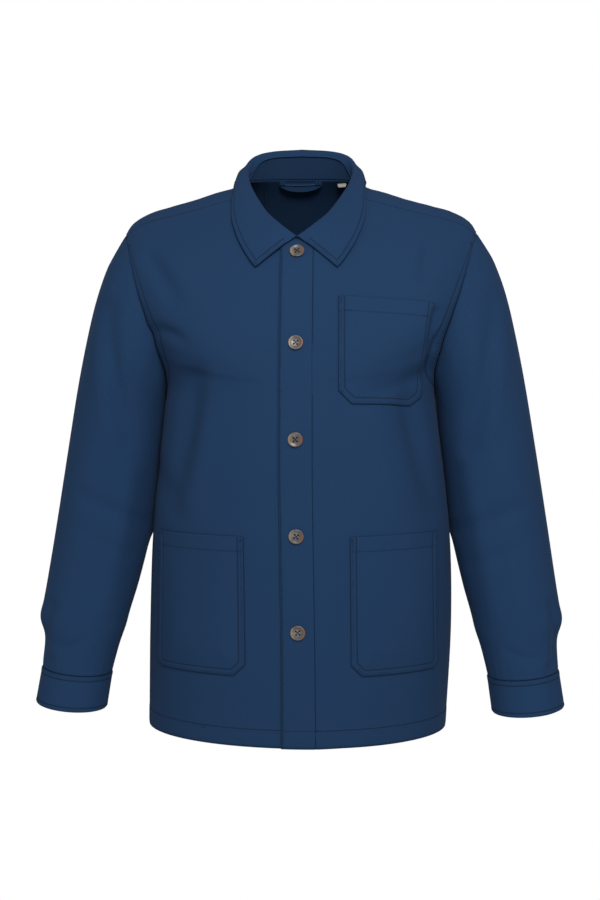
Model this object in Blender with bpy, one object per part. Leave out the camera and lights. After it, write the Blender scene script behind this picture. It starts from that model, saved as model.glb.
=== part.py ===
"""A buttoned chore jacket that keeps the hollow form it has when worn.

Metres, +Z up. The front faces -Y and the wearer's left is +X. The origin is the middle of the
shoulder line at the neck, where a wearer carries the jacket. The body is a stack of rings from
the neck seam to the hem. Every panel is a part of that one surface, so its seams meet.
"""

from collections import namedtuple

import bmesh
import bpy
import numpy as np
from mathutils import Vector

# Driving sizes
CLOTH = 0.0013
DOUBLE_CLOTH = 0.0020
FALL_CLOTH = 0.0018
CUFF_CLOTH = 0.0026
SEAM_GAP = 0.0003
PLACKET_HALF_WIDTH = 0.0216
PLACKET_TOP = 0.08       # the placket's upper end, as a level on the body's rings
UNDERLAP = 0.0200
CUFF_LENGTH = 0.0465
BUTTON_DIAMETER = 0.0186
BUTTON_THICKNESS = 0.0030
BUTTON_X = 0.0006           # the buttons' line, to the wearer's left of the centre
HOLE_RADIUS = 0.0010
HOLE_OFFSET = 0.0022
BUTTON_LIFT = 0.00063       # from the placket's skin to a button's underside
LOOP_HALF_WIDTH = 0.0330
LOOP_TOP = 0.0195
LOOP_FOOT = 0.0145          # the loop's lower edge at its ends; its middle hangs LOOP_DROP lower
LOOP_DROP = 0.0085
LOOP_BOW = 0.0085           # how far its middle stands in from the back
LOOP_CLOTH = 0.0012
LOOP_STAND_OFF = 0.0019
TAB_LEFT, TAB_RIGHT = 0.0520, 0.0670
TAB_TOP = 0.0155
TAB_DEPTH = 0.0090
TAB_CLOTH = 0.0010
TAB_STAND_OFF = 0.0045

# Body rings, from the neck seam (0) past the armpit (9) to the hem (13). side_l and side_r are
# half widths on the wearer's left and right; z_side, z_front and z_back are the ring's heights.
Ring = namedtuple("Ring", "level side_l side_r y_side z_side y_front z_front y_back z_back")
BODY = [
    Ring(0, 0.081, 0.081, 0.000, 0.0010, -0.0930, -0.0975, 0.0620, 0.0266),
    Ring(1, 0.118, 0.118, 0.004, -0.0070, -0.1050, -0.1220, 0.0800, 0.0060),
    Ring(2, 0.150, 0.150, 0.007, -0.0165, -0.1150, -0.1480, 0.0940, -0.0200),
    Ring(3, 0.185, 0.185, 0.009, -0.0255, -0.1250, -0.1800, 0.1060, -0.0560),
    Ring(4, 0.220, 0.220, 0.009, -0.0365, -0.1330, -0.2130, 0.1140, -0.0950),
    Ring(5, 0.246, 0.246, 0.008, -0.0565, -0.1385, -0.2400, 0.1190, -0.1350),
    Ring(6, 0.254, 0.254, 0.006, -0.0960, -0.1415, -0.2580, 0.1220, -0.1750),
    Ring(7, 0.242, 0.242, 0.004, -0.1500, -0.1435, -0.2720, 0.1230, -0.2150),
    Ring(8, 0.215, 0.215, 0.002, -0.2150, -0.1450, -0.2850, 0.1225, -0.2500),
    Ring(9, 0.1895, 0.1885, 0.000, -0.2850, -0.1465, -0.3020, 0.1200, -0.2950),
    Ring(10, 0.1960, 0.1945, 0.000, -0.3700, -0.1485, -0.3750, 0.1130, -0.3700),
    Ring(11, 0.2110, 0.2085, 0.000, -0.4850, -0.1485, -0.4850, 0.1080, -0.4850),
    Ring(12, 0.2135, 0.2130, 0.000, -0.6150, -0.1440, -0.6150, 0.1100, -0.6150),
    Ring(13, 0.2055, 0.2145, 0.000, -0.7640, -0.1370, -0.7570, 0.1160, -0.7660),
]
RING_LIFT = 1.5          # how quickly a ring climbs from the front or back to its side
HEM_LEVEL = 13.0
SHOULDER_DROP = 0.009    # the wearer's left shoulder hangs this much lower, for each metre across
NECK_SEAM_ANGLE = 67.0   # where the shoulder seam leaves the neck, in degrees from the front
TIP_LEVEL = 5.2          # the shoulder seam's outer end, at the top of the armhole
TIP_ANGLE = 80.0
ARMPIT_LEVEL = 9.0
ARMHOLE_FRONT = 26.0     # how far the armhole cuts into the front and the back, in degrees
ARMHOLE_BACK = 34.0
BACK_SEAM_AT_NECK = 0.055
BACK_SEAM_AT_HEM = 0.078

# Sleeve sections down the arm. x and y are the centre, half and deep the half widths, tilt is
# how far the section leans out from level, in degrees.
Section = namedtuple("Section", "station z x y half deep tilt")
SLEEVE = [
    Section(0.0, -0.330, 0.2595, 0.000, 0.0640, 0.0690, 9.0),
    Section(1.0, -0.405, 0.2700, 0.001, 0.0655, 0.0690, 8.0),
    Section(2.0, -0.480, 0.2795, -0.004, 0.0665, 0.0670, 8.0),
    Section(3.0, -0.545, 0.2895, -0.018, 0.0635, 0.0630, 9.0),
    Section(4.0, -0.590, 0.2970, -0.033, 0.0600, 0.0590, 9.0),
    Section(5.0, -0.612, 0.3005, -0.041, 0.0590, 0.0560, 8.0),
    Section(6.0, -0.638, 0.3005, -0.049, 0.0515, 0.0520, 8.0),
    Section(7.0, -0.674, 0.3030, -0.062, 0.0465, 0.0475, 7.0),
]
CUFF_LEAN = (0.092, -0.30, -0.95)   # the direction from the cuff's seam to its mouth

# Collar, half of it, from the centre front (0) to the centre back (1). stand is the height from
# the neck seam to the stand's ridge, turn the top of the fold and roll its radius. The fall's
# outer edge lies on the body at edge_angle and edge_level.
Collar = namedtuple("Collar", "share stand turn_x turn_y turn_z roll edge_angle edge_level")
COLLAR = [
    Collar(0.00, 0.0030, 0.0026, -0.0965, -0.0900, 0.0020, 21.5, 2.05),
    Collar(0.12, 0.0060, 0.0235, -0.0855, -0.0715, 0.0036, 30.5, 1.62),
    Collar(0.20, 0.0100, 0.0385, -0.0700, -0.0560, 0.0044, 39.5, 1.28),
    Collar(0.30, 0.0160, 0.0540, -0.0480, -0.0325, 0.0048, 51.0, 0.93),
    Collar(0.42, 0.0240, 0.0675, -0.0195, -0.0045, 0.0050, 64.0, 0.57),
    Collar(0.53, 0.0300, 0.0740, 0.0060, 0.0185, 0.0050, 80.0, 0.34),
    Collar(0.64, 0.0340, 0.0755, 0.0290, 0.0400, 0.0050, 102.0, 0.36),
    Collar(0.74, 0.0360, 0.0690, 0.0490, 0.0575, 0.0050, 125.0, 0.58),
    Collar(0.86, 0.0385, 0.0460, 0.0670, 0.0700, 0.0050, 151.0, 0.85),
    Collar(1.00, 0.0390, 0.0000, 0.0740, 0.0755, 0.0050, 180.0, 0.95),
]
COLLAR_SPLIT = 0.004     # how far each end of the collar stops short of the centre front
EDGE_LIFT = 0.0045

# The largest folds: soft troughs from one point to another, measured on the wearer's left.
Fold = namedtuple("Fold", "side x1 y1 z1 x2 y2 z2 width depth")
FOLDS = [
    Fold("left", 0.182, -0.085, -0.285, 0.120, -0.135, -0.440, 0.022, 0.0060),
    Fold("right", 0.184, -0.085, -0.265, 0.128, -0.130, -0.430, 0.022, 0.0060),
    Fold("left", 0.190, -0.080, -0.190, 0.160, -0.105, -0.145, 0.016, 0.0030),
    Fold("right", 0.195, -0.075, -0.200, 0.150, -0.115, -0.165, 0.018, 0.0040),
    Fold("left", 0.185, 0.070, -0.270, 0.100, 0.110, -0.430, 0.024, 0.0060),
    Fold("right", 0.185, 0.070, -0.260, 0.090, 0.110, -0.400, 0.024, 0.0060),
]
SLEEVE_FOLDS = [
    Fold("left", 0.250, -0.070, -0.455, 0.310, -0.060, -0.480, 0.016, 0.0050),
    Fold("right", 0.245, -0.070, -0.440, 0.315, -0.060, -0.470, 0.016, 0.0050),
    Fold("left", 0.356, -0.070, -0.640, 0.310, -0.105, -0.655, 0.011, 0.0050),
    Fold("right", 0.358, -0.070, -0.640, 0.315, -0.105, -0.655, 0.011, 0.0050),
]

# Patch pockets, cut flat: across and down are measured along the front from the centre line
# and from the origin's height. cut_in and cut_out are the cut-off lower corners.
Pocket = namedtuple("Pocket", "node side inner outer outer_low top bottom slope cut_in cut_out")
POCKETS = [
    Pocket("pocket_chest", "left", 0.0550, 0.1790, 0.1700, -0.1780, -0.3170, -0.04, 0.017, 0.013),
    Pocket("pocket_hip_left", "left", 0.0690, 0.187, 0.189, -0.4865, -0.6670, 0.02, 0.015, 0.004),
    Pocket("pocket_hip_right", "right", 0.0670, 0.189, 0.191, -0.4865, -0.667, 0.02, 0.015, 0.004),
]

Button = namedtuple("Button", "node z")
BUTTONS = [
    Button("button_1", -0.1140),
    Button("button_2", -0.2380),
    Button("button_3", -0.3620),
    Button("button_4", -0.4850),
    Button("button_5", -0.6080),
]

# Grid densities
NECK_ROWS = 5
ARMHOLE_ROWS = 9
LOWER_ROWS = 7
FRONT_COLUMNS = 8
SIDE_BACK_COLUMNS = 7
CENTRE_BACK_COLUMNS = 4
CAP_ROWS = 5
ARM_ROWS = 9


# --- Smooth curves through the tables ---------------------------------------------------------

def through(table, at):
    """The values of a smooth curve through a table's rows, read at parameters 'at'."""
    rows = np.array([[v for v in row if not isinstance(v, str)] for row in table], float)
    knots, values = rows[:, 0], rows[:, 1:]
    slopes = np.gradient(values, knots, axis=0)
    at = np.asarray(at, float)
    low = np.clip(np.searchsorted(knots, at, side="right") - 1, 0, len(knots) - 2)
    span = (knots[low + 1] - knots[low])[..., None]
    f = (at - knots[low])[..., None] / span
    start = (2 * f**3 - 3 * f**2 + 1) * values[low] + (f**3 - 2 * f**2 + f) * span * slopes[low]
    end = (3 * f**2 - 2 * f**3) * values[low + 1] + (f**3 - f**2) * span * slopes[low + 1]
    return start + end


def unit(v):
    return v / np.maximum(np.linalg.norm(v, axis=-1, keepdims=True), 1e-12)


def ease(t):
    t = np.clip(t, 0.0, 1.0)
    return t * t * (3 - 2 * t)


def pressed(points, normals, folds, side):
    """Points with the troughs of one side pressed into them."""
    depth = np.zeros(points.shape[:-1])
    mirror = np.array([1.0 if side == "left" else -1.0, 1.0, 1.0])
    for fold in folds:
        if fold.side != side:
            continue
        a = np.array([fold.x1, fold.y1, fold.z1]) * mirror
        b = np.array([fold.x2, fold.y2, fold.z2]) * mirror
        along = np.clip((points - a) @ (b - a) / ((b - a) @ (b - a)), 0, 1)
        away = np.linalg.norm(points - (a + along[..., None] * (b - a)), axis=-1)
        taper = 1 - 0.7 * along
        depth += fold.depth * taper * np.exp(-(away / fold.width) ** 2)
    return points - normals * depth[..., None]


# --- The body surface ---------------------------------------------------------------------------

def body_plain(angle, level):
    """The body's outer surface. angle runs from 0 at the front to 180 at the back over the
    wearer's left, and is negative over the right."""
    angle, level = np.broadcast_arrays(np.asarray(angle, float), np.asarray(level, float))
    ring = np.moveaxis(through(BODY, level), -1, 0)
    side_l, side_r, y_side, z_side, y_front, z_front, y_back, z_back = ring
    turn = np.radians(angle)
    across = np.where(angle >= 0, side_l, side_r) * np.sin(turn)
    facing = np.cos(turn)
    y_end = np.where(facing >= 0, y_front, y_back)
    z_end = np.where(facing >= 0, z_front, z_back)
    share = np.abs(facing)
    drop = SHOULDER_DROP * across * (1 - ease(level / ARMPIT_LEVEL))
    return np.stack([across, y_side + (y_end - y_side) * share,
                     z_side + (z_end - z_side) * share**RING_LIFT - drop], -1)


def body_normal(angle, level):
    """Outward normals of the body's plain surface."""
    angle, level = np.broadcast_arrays(np.asarray(angle, float), np.asarray(level, float))
    low, high = np.clip(level - 0.02, 0, HEM_LEVEL), np.clip(level + 0.02, 0, HEM_LEVEL)
    round_the_ring = body_plain(angle + 0.5, level) - body_plain(angle - 0.5, level)
    down = body_plain(angle, high) - body_plain(angle, low)
    return unit(np.cross(down, round_the_ring))


def body(angle, level, side):
    points, normals = body_plain(angle, level), body_normal(angle, level)
    return pressed(points, normals, FOLDS, side), normals


def angle_at(across, level, side):
    """The angle at which a ring is that far from the centre line."""
    half = through(BODY, level)[..., 0 if side == "left" else 1]
    return np.degrees(np.arcsin(np.clip(across / half, -1, 1)))


# --- Panel edges, as angles on the rings ------------------------------------------------------

def armhole(turn):
    """Level and angle of the armhole's edge. turn is 0 at its top, 90 at the front, 180 at
    the armpit and 270 at the back."""
    turn = np.radians(np.asarray(turn, float))
    drop = (1 - np.cos(turn)) / 2
    level = TIP_LEVEL + (ARMPIT_LEVEL - TIP_LEVEL) * drop
    middle = TIP_ANGLE + (90 - TIP_ANGLE) * drop
    reach = np.where(np.sin(turn) >= 0, ARMHOLE_FRONT, ARMHOLE_BACK)
    return level, middle - reach * np.sin(turn)


def panel_rows(toward_back):
    """The levels of a panel's rows, and the angle of its outer edge on each."""
    neck = np.linspace(0, TIP_LEVEL, NECK_ROWS + 1)[:-1]
    seam = NECK_SEAM_ANGLE + (TIP_ANGLE - NECK_SEAM_ANGLE) * neck / TIP_LEVEL
    turns = np.linspace(0, 180, ARMHOLE_ROWS + 1)
    hole_level, hole_angle = armhole(360 - turns if toward_back else turns)
    lower = np.linspace(ARMPIT_LEVEL, HEM_LEVEL, LOWER_ROWS + 1)[1:]
    levels = np.concatenate([neck, hole_level, lower])
    edges = np.concatenate([seam, hole_angle, np.full(len(lower), 90.0)])
    return levels, edges


def back_seam_angle(levels, side):
    across = BACK_SEAM_AT_NECK + (BACK_SEAM_AT_HEM - BACK_SEAM_AT_NECK) * levels / HEM_LEVEL
    return 180 - angle_at(across, levels, side)


# --- Closed cloth from a grid -----------------------------------------------------------------

def eased_in(points, first, last, gap=SEAM_GAP / 2):
    """A grid whose first or last column stands back from its seam by half the seam's gap."""
    moved = points.copy()
    for wanted, edge, inner in ((first, 0, 1), (last, -1, -2)):
        if wanted:
            moved[:, edge] += unit(points[:, inner] - points[:, edge]) * gap
    return moved


def cloth(name, outer, normals, thickness, material, closed=False, stand_off=0.0):
    """A closed wall: a grid of points moved out by stand_off, its inner copy, and its edges."""
    rows, columns = outer.shape[:2]
    skin = outer + normals * stand_off
    lining = skin - normals * thickness
    mesh = bmesh.new()
    face_out = [[mesh.verts.new(p) for p in row] for row in skin]
    face_in = [[mesh.verts.new(p) for p in row] for row in lining]
    wrap = columns if closed else columns - 1
    for r in range(rows - 1):
        for c in range(wrap):
            d = (c + 1) % columns
            mesh.faces.new((face_out[r][c], face_out[r + 1][c], face_out[r + 1][d], face_out[r][d]))
            mesh.faces.new((face_in[r][c], face_in[r][d], face_in[r + 1][d], face_in[r + 1][c]))
    for c in range(wrap):
        d = (c + 1) % columns
        mesh.faces.new((face_out[0][c], face_out[0][d], face_in[0][d], face_in[0][c]))
        mesh.faces.new((face_out[-1][c], face_in[-1][c], face_in[-1][d], face_out[-1][d]))
    if not closed:
        for r in range(rows - 1):
            mesh.faces.new((face_out[r][0], face_in[r][0], face_in[r + 1][0], face_out[r + 1][0]))
            mesh.faces.new((face_out[r][-1], face_out[r + 1][-1], face_in[r + 1][-1],
                            face_in[r][-1]))
    return finished(name, mesh, material)


def finished(name, mesh, material):
    bmesh.ops.triangulate(mesh, faces=mesh.faces)
    bmesh.ops.recalc_face_normals(mesh, faces=mesh.faces)
    if mesh.calc_volume(signed=True) < 0:
        bmesh.ops.reverse_faces(mesh, faces=mesh.faces)
    data = bpy.data.meshes.new(name)
    mesh.to_mesh(data)
    mesh.free()
    data.materials.append(material)
    data.shade_smooth()
    made = bpy.data.objects.new(name, data)
    bpy.context.scene.collection.objects.link(made)
    return made


def finish_of(name, colour, roughness):
    material = bpy.data.materials.new(name)
    material.use_nodes = True
    shader = material.node_tree.nodes["Principled BSDF"]
    shader.inputs["Base Color"].default_value = (*colour, 1)
    shader.inputs["Roughness"].default_value = roughness
    shader.inputs["Metallic"].default_value = 0.0
    return material


# --- Fronts and backs -------------------------------------------------------------------------

def armhole_normals(side, turns):
    """Normals shared by the body and the sleeve along the armhole: halfway between the two
    where the seam is a ridge, and the body's own where it is a valley."""
    mirror = 1 if side == "left" else -1
    level, angle = armhole(turns)
    of_body = body_normal(mirror * angle, level)
    of_sleeve = sleeve_cap_normal(side, turns)
    ridge = np.sum(sleeve_start(side, turns) * of_body, -1, keepdims=True) < 0
    return np.where(ridge, unit(of_body + of_sleeve), of_body), ridge


def share_armhole(normals, column, side, toward_back):
    """Put the shared normals in a panel's column, along the rows of its armhole."""
    turns = np.linspace(0, 180, ARMHOLE_ROWS + 1)
    shared, _ = armhole_normals(side, 360 - turns if toward_back else turns)
    normals[NECK_ROWS:NECK_ROWS + ARMHOLE_ROWS + 1, column] = shared
    return normals


def front_lift(across):
    """The left front stands out at its placket seam, over the under-lap, and then lies flat."""
    return (CLOTH + SEAM_GAP) * (1 - ease((across - PLACKET_HALF_WIDTH) / 0.045))


def front_grid(side, start):
    """Points and normals of a front from 'start' past the centre line to its outer edge."""
    mirror = 1 if side == "left" else -1
    levels, edges = panel_rows(toward_back=False)
    own = np.full_like(levels, PLACKET_HALF_WIDTH + SEAM_GAP)
    first = angle_at(own, levels, side)
    share = np.linspace(0, 1, FRONT_COLUMNS + 1)
    angles = first[:, None] + (edges - first)[:, None] * share
    if start < 0:
        across = np.linspace(start, 0, 3)
        extra = np.stack([angle_at(np.full_like(levels, a), levels, side) for a in across], 1)
        angles = np.concatenate([extra, angles], 1)
    return body(mirror * angles, levels[:, None], side)


def make_front(side, material):
    if side == "right":
        points, normals = front_grid(side, -UNDERLAP)
    else:
        points, normals = front_grid(side, PLACKET_HALF_WIDTH)
        points = points + normals * front_lift(points[..., 0])[..., None]
    normals = share_armhole(normals, -1, side, toward_back=False)
    points = eased_in(points, side == "left", True)
    return cloth("front_" + side, points, normals, CLOTH, material)


def make_side_back(side, material):
    mirror = 1 if side == "left" else -1
    levels, edges = panel_rows(toward_back=True)
    seam = back_seam_angle(levels, side)
    share = np.linspace(0, 1, SIDE_BACK_COLUMNS + 1)
    angles = edges[:, None] + (seam - edges)[:, None] * share
    points, normals = body(mirror * angles, levels[:, None], side)
    normals = share_armhole(normals, 0, side, toward_back=True)
    return cloth("back_" + side, eased_in(points, True, True), normals, CLOTH, material)


def make_centre_back(material):
    levels, _ = panel_rows(toward_back=True)
    left, right = back_seam_angle(levels, "left"), 360 - back_seam_angle(levels, "right")
    share = np.linspace(0, 1, CENTRE_BACK_COLUMNS + 1)
    angles = left[:, None] + (right - left)[:, None] * share
    angles = np.where(angles > 180, angles - 360, angles)
    on_left, normals = body(angles, levels[:, None], "left")
    on_right, _ = body(angles, levels[:, None], "right")
    points = np.where((angles > 0)[..., None], on_left, on_right)
    return cloth("back_centre", eased_in(points, True, True), normals, CLOTH, material)


def make_placket(material):
    """The doubled band that carries the buttons, on the under-lap's points moved out."""
    levels, _ = panel_rows(toward_back=False)
    levels[0] = PLACKET_TOP
    across = np.array([-PLACKET_HALF_WIDTH, -0.0072, 0.0072, PLACKET_HALF_WIDTH - SEAM_GAP])
    angles = np.stack([angle_at(np.full_like(levels, a), levels, "left") for a in across], 1)
    points, normals = body_plain(angles, levels[:, None]), body_normal(angles, levels[:, None])
    return cloth("placket", points, normals, DOUBLE_CLOTH, material,
                 stand_off=1.5 * SEAM_GAP + DOUBLE_CLOTH)


# --- Sleeves and cuffs ------------------------------------------------------------------------

def sleeve_axes(side, station):
    """Centre, outward axis and half widths of the sleeve's section at a station."""
    mirror = 1 if side == "left" else -1
    z, x, y, half, deep, tilt = np.moveaxis(through(SLEEVE, station), -1, 0)
    lean = np.radians(tilt)
    centre = np.stack([mirror * x, y, z], -1)
    outward = np.stack([mirror * np.cos(lean), 0 * lean, np.sin(lean)], -1)
    return centre, outward, half, deep


def sleeve_ring(side, station, turns):
    """Points of a section. turns go from the outer side, 0, round by the front, 90."""
    centre, outward, half, deep = sleeve_axes(side, np.asarray(station, float))
    a = np.radians(turns)[..., None]
    return centre + outward * half[..., None] * np.cos(a) - np.array([0, 1, 0]) * (
        deep[..., None] * np.sin(a))


def sleeve_start(side, turns):
    """The direction in which the sleeve leaves the armhole."""
    mirror = 1 if side == "left" else -1
    a = np.radians(np.asarray(turns, float))
    return unit(np.stack([mirror * (0.40 + 0.16 * np.cos(a)), -0.28 * np.sin(a),
                          -0.90 + 0.12 * np.cos(a)], -1))


def sleeve_cap(side, turns, share):
    """The cap: curves from the armhole, share 0, to the first full section, share 1."""
    mirror = 1 if side == "left" else -1
    level, angle = armhole(turns)
    a, _ = body(mirror * angle, level, side)
    d = sleeve_ring(side, 0.0, turns)
    below = sleeve_ring(side, 0.25, turns)
    reach = np.linalg.norm(d - a, axis=-1, keepdims=True)
    b = a + sleeve_start(side, turns) * reach * 0.34
    c = d - unit(below - d) * reach * 0.36
    t = share
    return (1 - t)**3 * a + 3 * (1 - t)**2 * t * b + 3 * (1 - t) * t**2 * c + t**3 * d


def sleeve_cap_normal(side, turns):
    """Outward normals of the sleeve where it leaves the armhole."""
    mirror = 1 if side == "left" else -1
    turns = np.asarray(turns, float)
    round_it = sleeve_cap(side, turns + 3, 0.03) - sleeve_cap(side, turns - 3, 0.03)
    down = sleeve_start(side, turns)
    return unit(np.cross(round_it, down)) * mirror


def grid_normals(points, mirror):
    """Outward normals of a grid that closes round its columns."""
    down = np.gradient(points, axis=0)
    round_it = np.roll(points, -1, 1) - np.roll(points, 1, 1)
    return unit(np.cross(round_it, down)) * mirror


def sleeve_grid(side):
    turns = np.arange(2 * ARMHOLE_ROWS) * 180.0 / ARMHOLE_ROWS
    rows = [sleeve_cap(side, turns, t) for t in np.linspace(0, 1, CAP_ROWS + 1)[:-1]]
    last = SLEEVE[-1].station
    rows += [sleeve_ring(side, s, turns) for s in np.linspace(0, last, ARM_ROWS + 1)]
    points = np.array(rows)
    mirror = 1 if side == "left" else -1
    normals = grid_normals(points, mirror)
    points = pressed(points, normals, SLEEVE_FOLDS, side)
    shared, ridge = armhole_normals(side, turns)
    normals[0] = np.where(ridge, shared, normals[0])
    points[0] += sleeve_start(side, turns) * SEAM_GAP * 4
    return points, normals


def make_sleeve(side, material):
    points, normals = sleeve_grid(side)
    return cloth("sleeve_" + side, points, normals, CLOTH, material, closed=True)


def make_cuff(side, material):
    """A doubled band that carries on from the sleeve's end and stands a little proud of it."""
    points, normals = sleeve_grid(side)
    end, out = points[-1], normals[-1]
    mirror = np.array([1.0 if side == "left" else -1.0, 1.0, 1.0])
    lean = unit(np.array(CUFF_LEAN)) * mirror
    down = unit(points[-1] - points[-2]).mean(0)
    rows = [end + down * 1.5 * SEAM_GAP + lean * CUFF_LENGTH * t for t in np.linspace(0, 1, 3)]
    normals = np.array([out] * len(rows))
    return cloth("cuff_" + side, np.array(rows), normals, CUFF_CLOTH, material, closed=True,
                 stand_off=0.0011)


# --- Collar -----------------------------------------------------------------------------------

COLLAR_SHARES = np.concatenate([np.linspace(0, 0.24, 5), np.linspace(0.32, 1.0, 10)])


def collar_frame():
    """The collar's left half: the neck seam, the stand's ridge, the fold with its directions,
    the inner leaf's top and the outer edge."""
    row = through(COLLAR, COLLAR_SHARES)
    stand, turn, roll = row[:, 0:1], row[:, 1:4], row[:, 4:5]
    neck = body_plain(180 * (COLLAR_SPLIT * 2 + (1 - COLLAR_SPLIT * 2) * COLLAR_SHARES), 0.0)
    edge = body_plain(row[:, 5], row[:, 6]) + body_normal(row[:, 5], row[:, 6]) * EDGE_LIFT
    along = unit(np.gradient(turn, axis=0))
    rising, falling = turn - neck, edge - turn
    rising = unit(rising - along * np.sum(rising * along, -1, keepdims=True))
    falling = unit(falling - along * np.sum(falling * along, -1, keepdims=True))
    top = unit(rising - falling)
    out = unit(np.cross(along, top))
    leaf = turn - (top + out) * roll
    reach = np.linalg.norm(leaf - neck, axis=-1, keepdims=True)
    up = (leaf - neck) / reach
    ridge = neck + up * np.minimum(stand, 0.75 * reach)
    stand_out = unit(np.cross(along, up))
    return neck, ridge, turn, edge, leaf, up, stand_out, top, out, roll


def both_halves(half):
    """Rows of the left half, from front to back, carried on round the right half."""
    mirrored = half[-2::-1] * np.array([-1, 1, 1])
    mirrored[..., 2] += 2 * SHOULDER_DROP * half[-2::-1, :, 0]
    return np.concatenate([half, mirrored])


def both_facings(half):
    """Directions of the left half, carried on round the right half."""
    return np.concatenate([half, half[-2::-1] * np.array([-1, 1, 1])])


def outward_of(points):
    """Normals of a strip, from its rows and columns."""
    return unit(np.cross(np.gradient(points, axis=0), np.gradient(points, axis=1)))


def clear_of_body(points):
    """Push points out until the cloth behind them is clear of the body and of the placket."""
    angle, level = np.meshgrid(np.arange(-180, 180, 2.0), np.arange(0, 3.5, 0.08))
    skin, facing = body_plain(angle, level).reshape(-1, 3), body_normal(angle, level).reshape(-1, 3)
    moved = points.reshape(-1, 3).copy()
    for _ in range(3):
        for k, p in enumerate(moved):
            near = np.argmin(np.sum((skin - p) ** 2, -1))
            height = np.dot(p - skin[near], facing[near])
            placket = ease(1 - (abs(p[0]) - PLACKET_HALF_WIDTH) / 0.045)
            needed = FALL_CLOTH + 2.5 * SEAM_GAP + (DOUBLE_CLOTH + SEAM_GAP) * placket
            moved[k] = p + facing[near] * max(0.0, needed - height)
    return moved.reshape(points.shape)


def make_stand(material):
    neck, ridge, _, _, _, up, stand_out, _, _, _ = collar_frame()
    lean = 1 - up[:, 2:3]
    base = SEAM_GAP * 2 + 0.0019 * (1 - ease(COLLAR_SHARES / 0.14))[:, None] + 0.0015 * lean
    points = np.stack([neck + up * base, neck + (ridge - neck) * 0.5, ridge], 1)
    normals = np.stack([stand_out] * 3, 1)
    return cloth("collar_stand", both_halves(points), both_facings(normals), DOUBLE_CLOTH,
                 material, stand_off=DOUBLE_CLOTH / 2)


def make_fall(material):
    """The fall rises from the stand's ridge, turns over and lies down on the shoulders."""
    _, ridge, turn, edge, leaf, up, stand_out, top, out, roll = collar_frame()
    start = ridge + up * 2 * SEAM_GAP - stand_out * DOUBLE_CLOTH / 2
    leaf = leaf - stand_out * DOUBLE_CLOTH / 2
    turn_in = turn - out * roll * 0.6 - top * roll * 0.2
    turn_out = turn + out * roll * 0.6 - top * roll * 0.2
    side_out = turn + (out - top) * roll
    down = edge - side_out
    proud = unit(out + top * 0.3)
    third = side_out + down / 3 + proud * roll * 0.7
    two_thirds = side_out + down * 2 / 3 + proud * roll * 0.5
    outer = clear_of_body(np.stack([turn_out, side_out, third, two_thirds, edge], 1))
    half = np.concatenate([np.stack([start, leaf, turn_in, turn], 1), outer], 1)
    points = both_halves(half)
    normals = -outward_of(points)
    normals[:, 0] = -both_facings(stand_out[:, None])[:, 0]
    return cloth("collar_fall", points, normals, FALL_CLOTH, material)


# --- Pockets ----------------------------------------------------------------------------------

def cut(mesh, point, out):
    """Cut a closed mesh with a plane, drop what lies outside and close the cut."""
    geometry = mesh.verts[:] + mesh.edges[:] + mesh.faces[:]
    made = bmesh.ops.bisect_plane(mesh, geom=geometry, plane_co=point, plane_no=out,
                                  clear_outer=True, dist=1e-6)
    edges = [e for e in made["geom_cut"] if isinstance(e, bmesh.types.BMEdge)]
    bmesh.ops.holes_fill(mesh, edges=edges)


def make_pocket(pocket, material):
    """The front's own points moved out to a slab, cut to the pocket's outline."""
    mirror = 1 if pocket.side == "left" else -1
    if pocket.side == "right":
        points, normals = front_grid("right", -UNDERLAP)
    else:
        points, normals = front_grid("left", PLACKET_HALF_WIDTH)
        points = points + normals * front_lift(points[..., 0])[..., None]
    normals = share_armhole(normals, -1, pocket.side, toward_back=False)
    slab = cloth(pocket.node, points, normals, CLOTH, material, stand_off=SEAM_GAP + CLOTH)
    mesh = bmesh.new()
    mesh.from_mesh(slab.data)
    drop = pocket.slope * (pocket.outer - pocket.inner)
    corners = [
        (pocket.inner, pocket.top),
        (pocket.outer, pocket.top + drop),
        (pocket.outer_low, pocket.bottom + pocket.cut_out),
        (pocket.outer_low - pocket.cut_out, pocket.bottom),
        (pocket.inner + pocket.cut_in, pocket.bottom),
        (pocket.inner, pocket.bottom + pocket.cut_in),
    ]
    angle, level = np.meshgrid(mirror * np.arange(0, 90, 0.5), np.arange(2, HEM_LEVEL, 0.04))
    skin, facing = body_plain(angle, level).reshape(-1, 3), body_normal(angle, level).reshape(-1, 3)
    for (x1, z1), (x2, z2) in zip(corners, corners[1:] + corners[:1]):
        x, z = (x1 + x2) / 2 * mirror, (z1 + z2) / 2
        near = np.argmin(np.hypot(skin[:, 0] - x, skin[:, 2] - z))
        out = unit(np.cross(facing[near], [(x2 - x1) * mirror, 0, z2 - z1])) * mirror
        cut(mesh, skin[near], out)
    bpy.data.meshes.remove(slab.data)
    return finished(pocket.node, mesh, material)


# --- Buttons, hanger loop and size tab ----------------------------------------------------------

def surface_at(x, z):
    """The body's front at a height on the centre line, found by halving."""
    low, high = 0.0, HEM_LEVEL
    for _ in range(40):
        middle = (low + high) / 2
        if body_plain(angle_at(x, middle, "left"), middle)[2] > z:
            low = middle
        else:
            high = middle
    angle = angle_at(x, middle, "left")
    return body_plain(angle, middle), body_normal(angle, middle)


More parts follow.
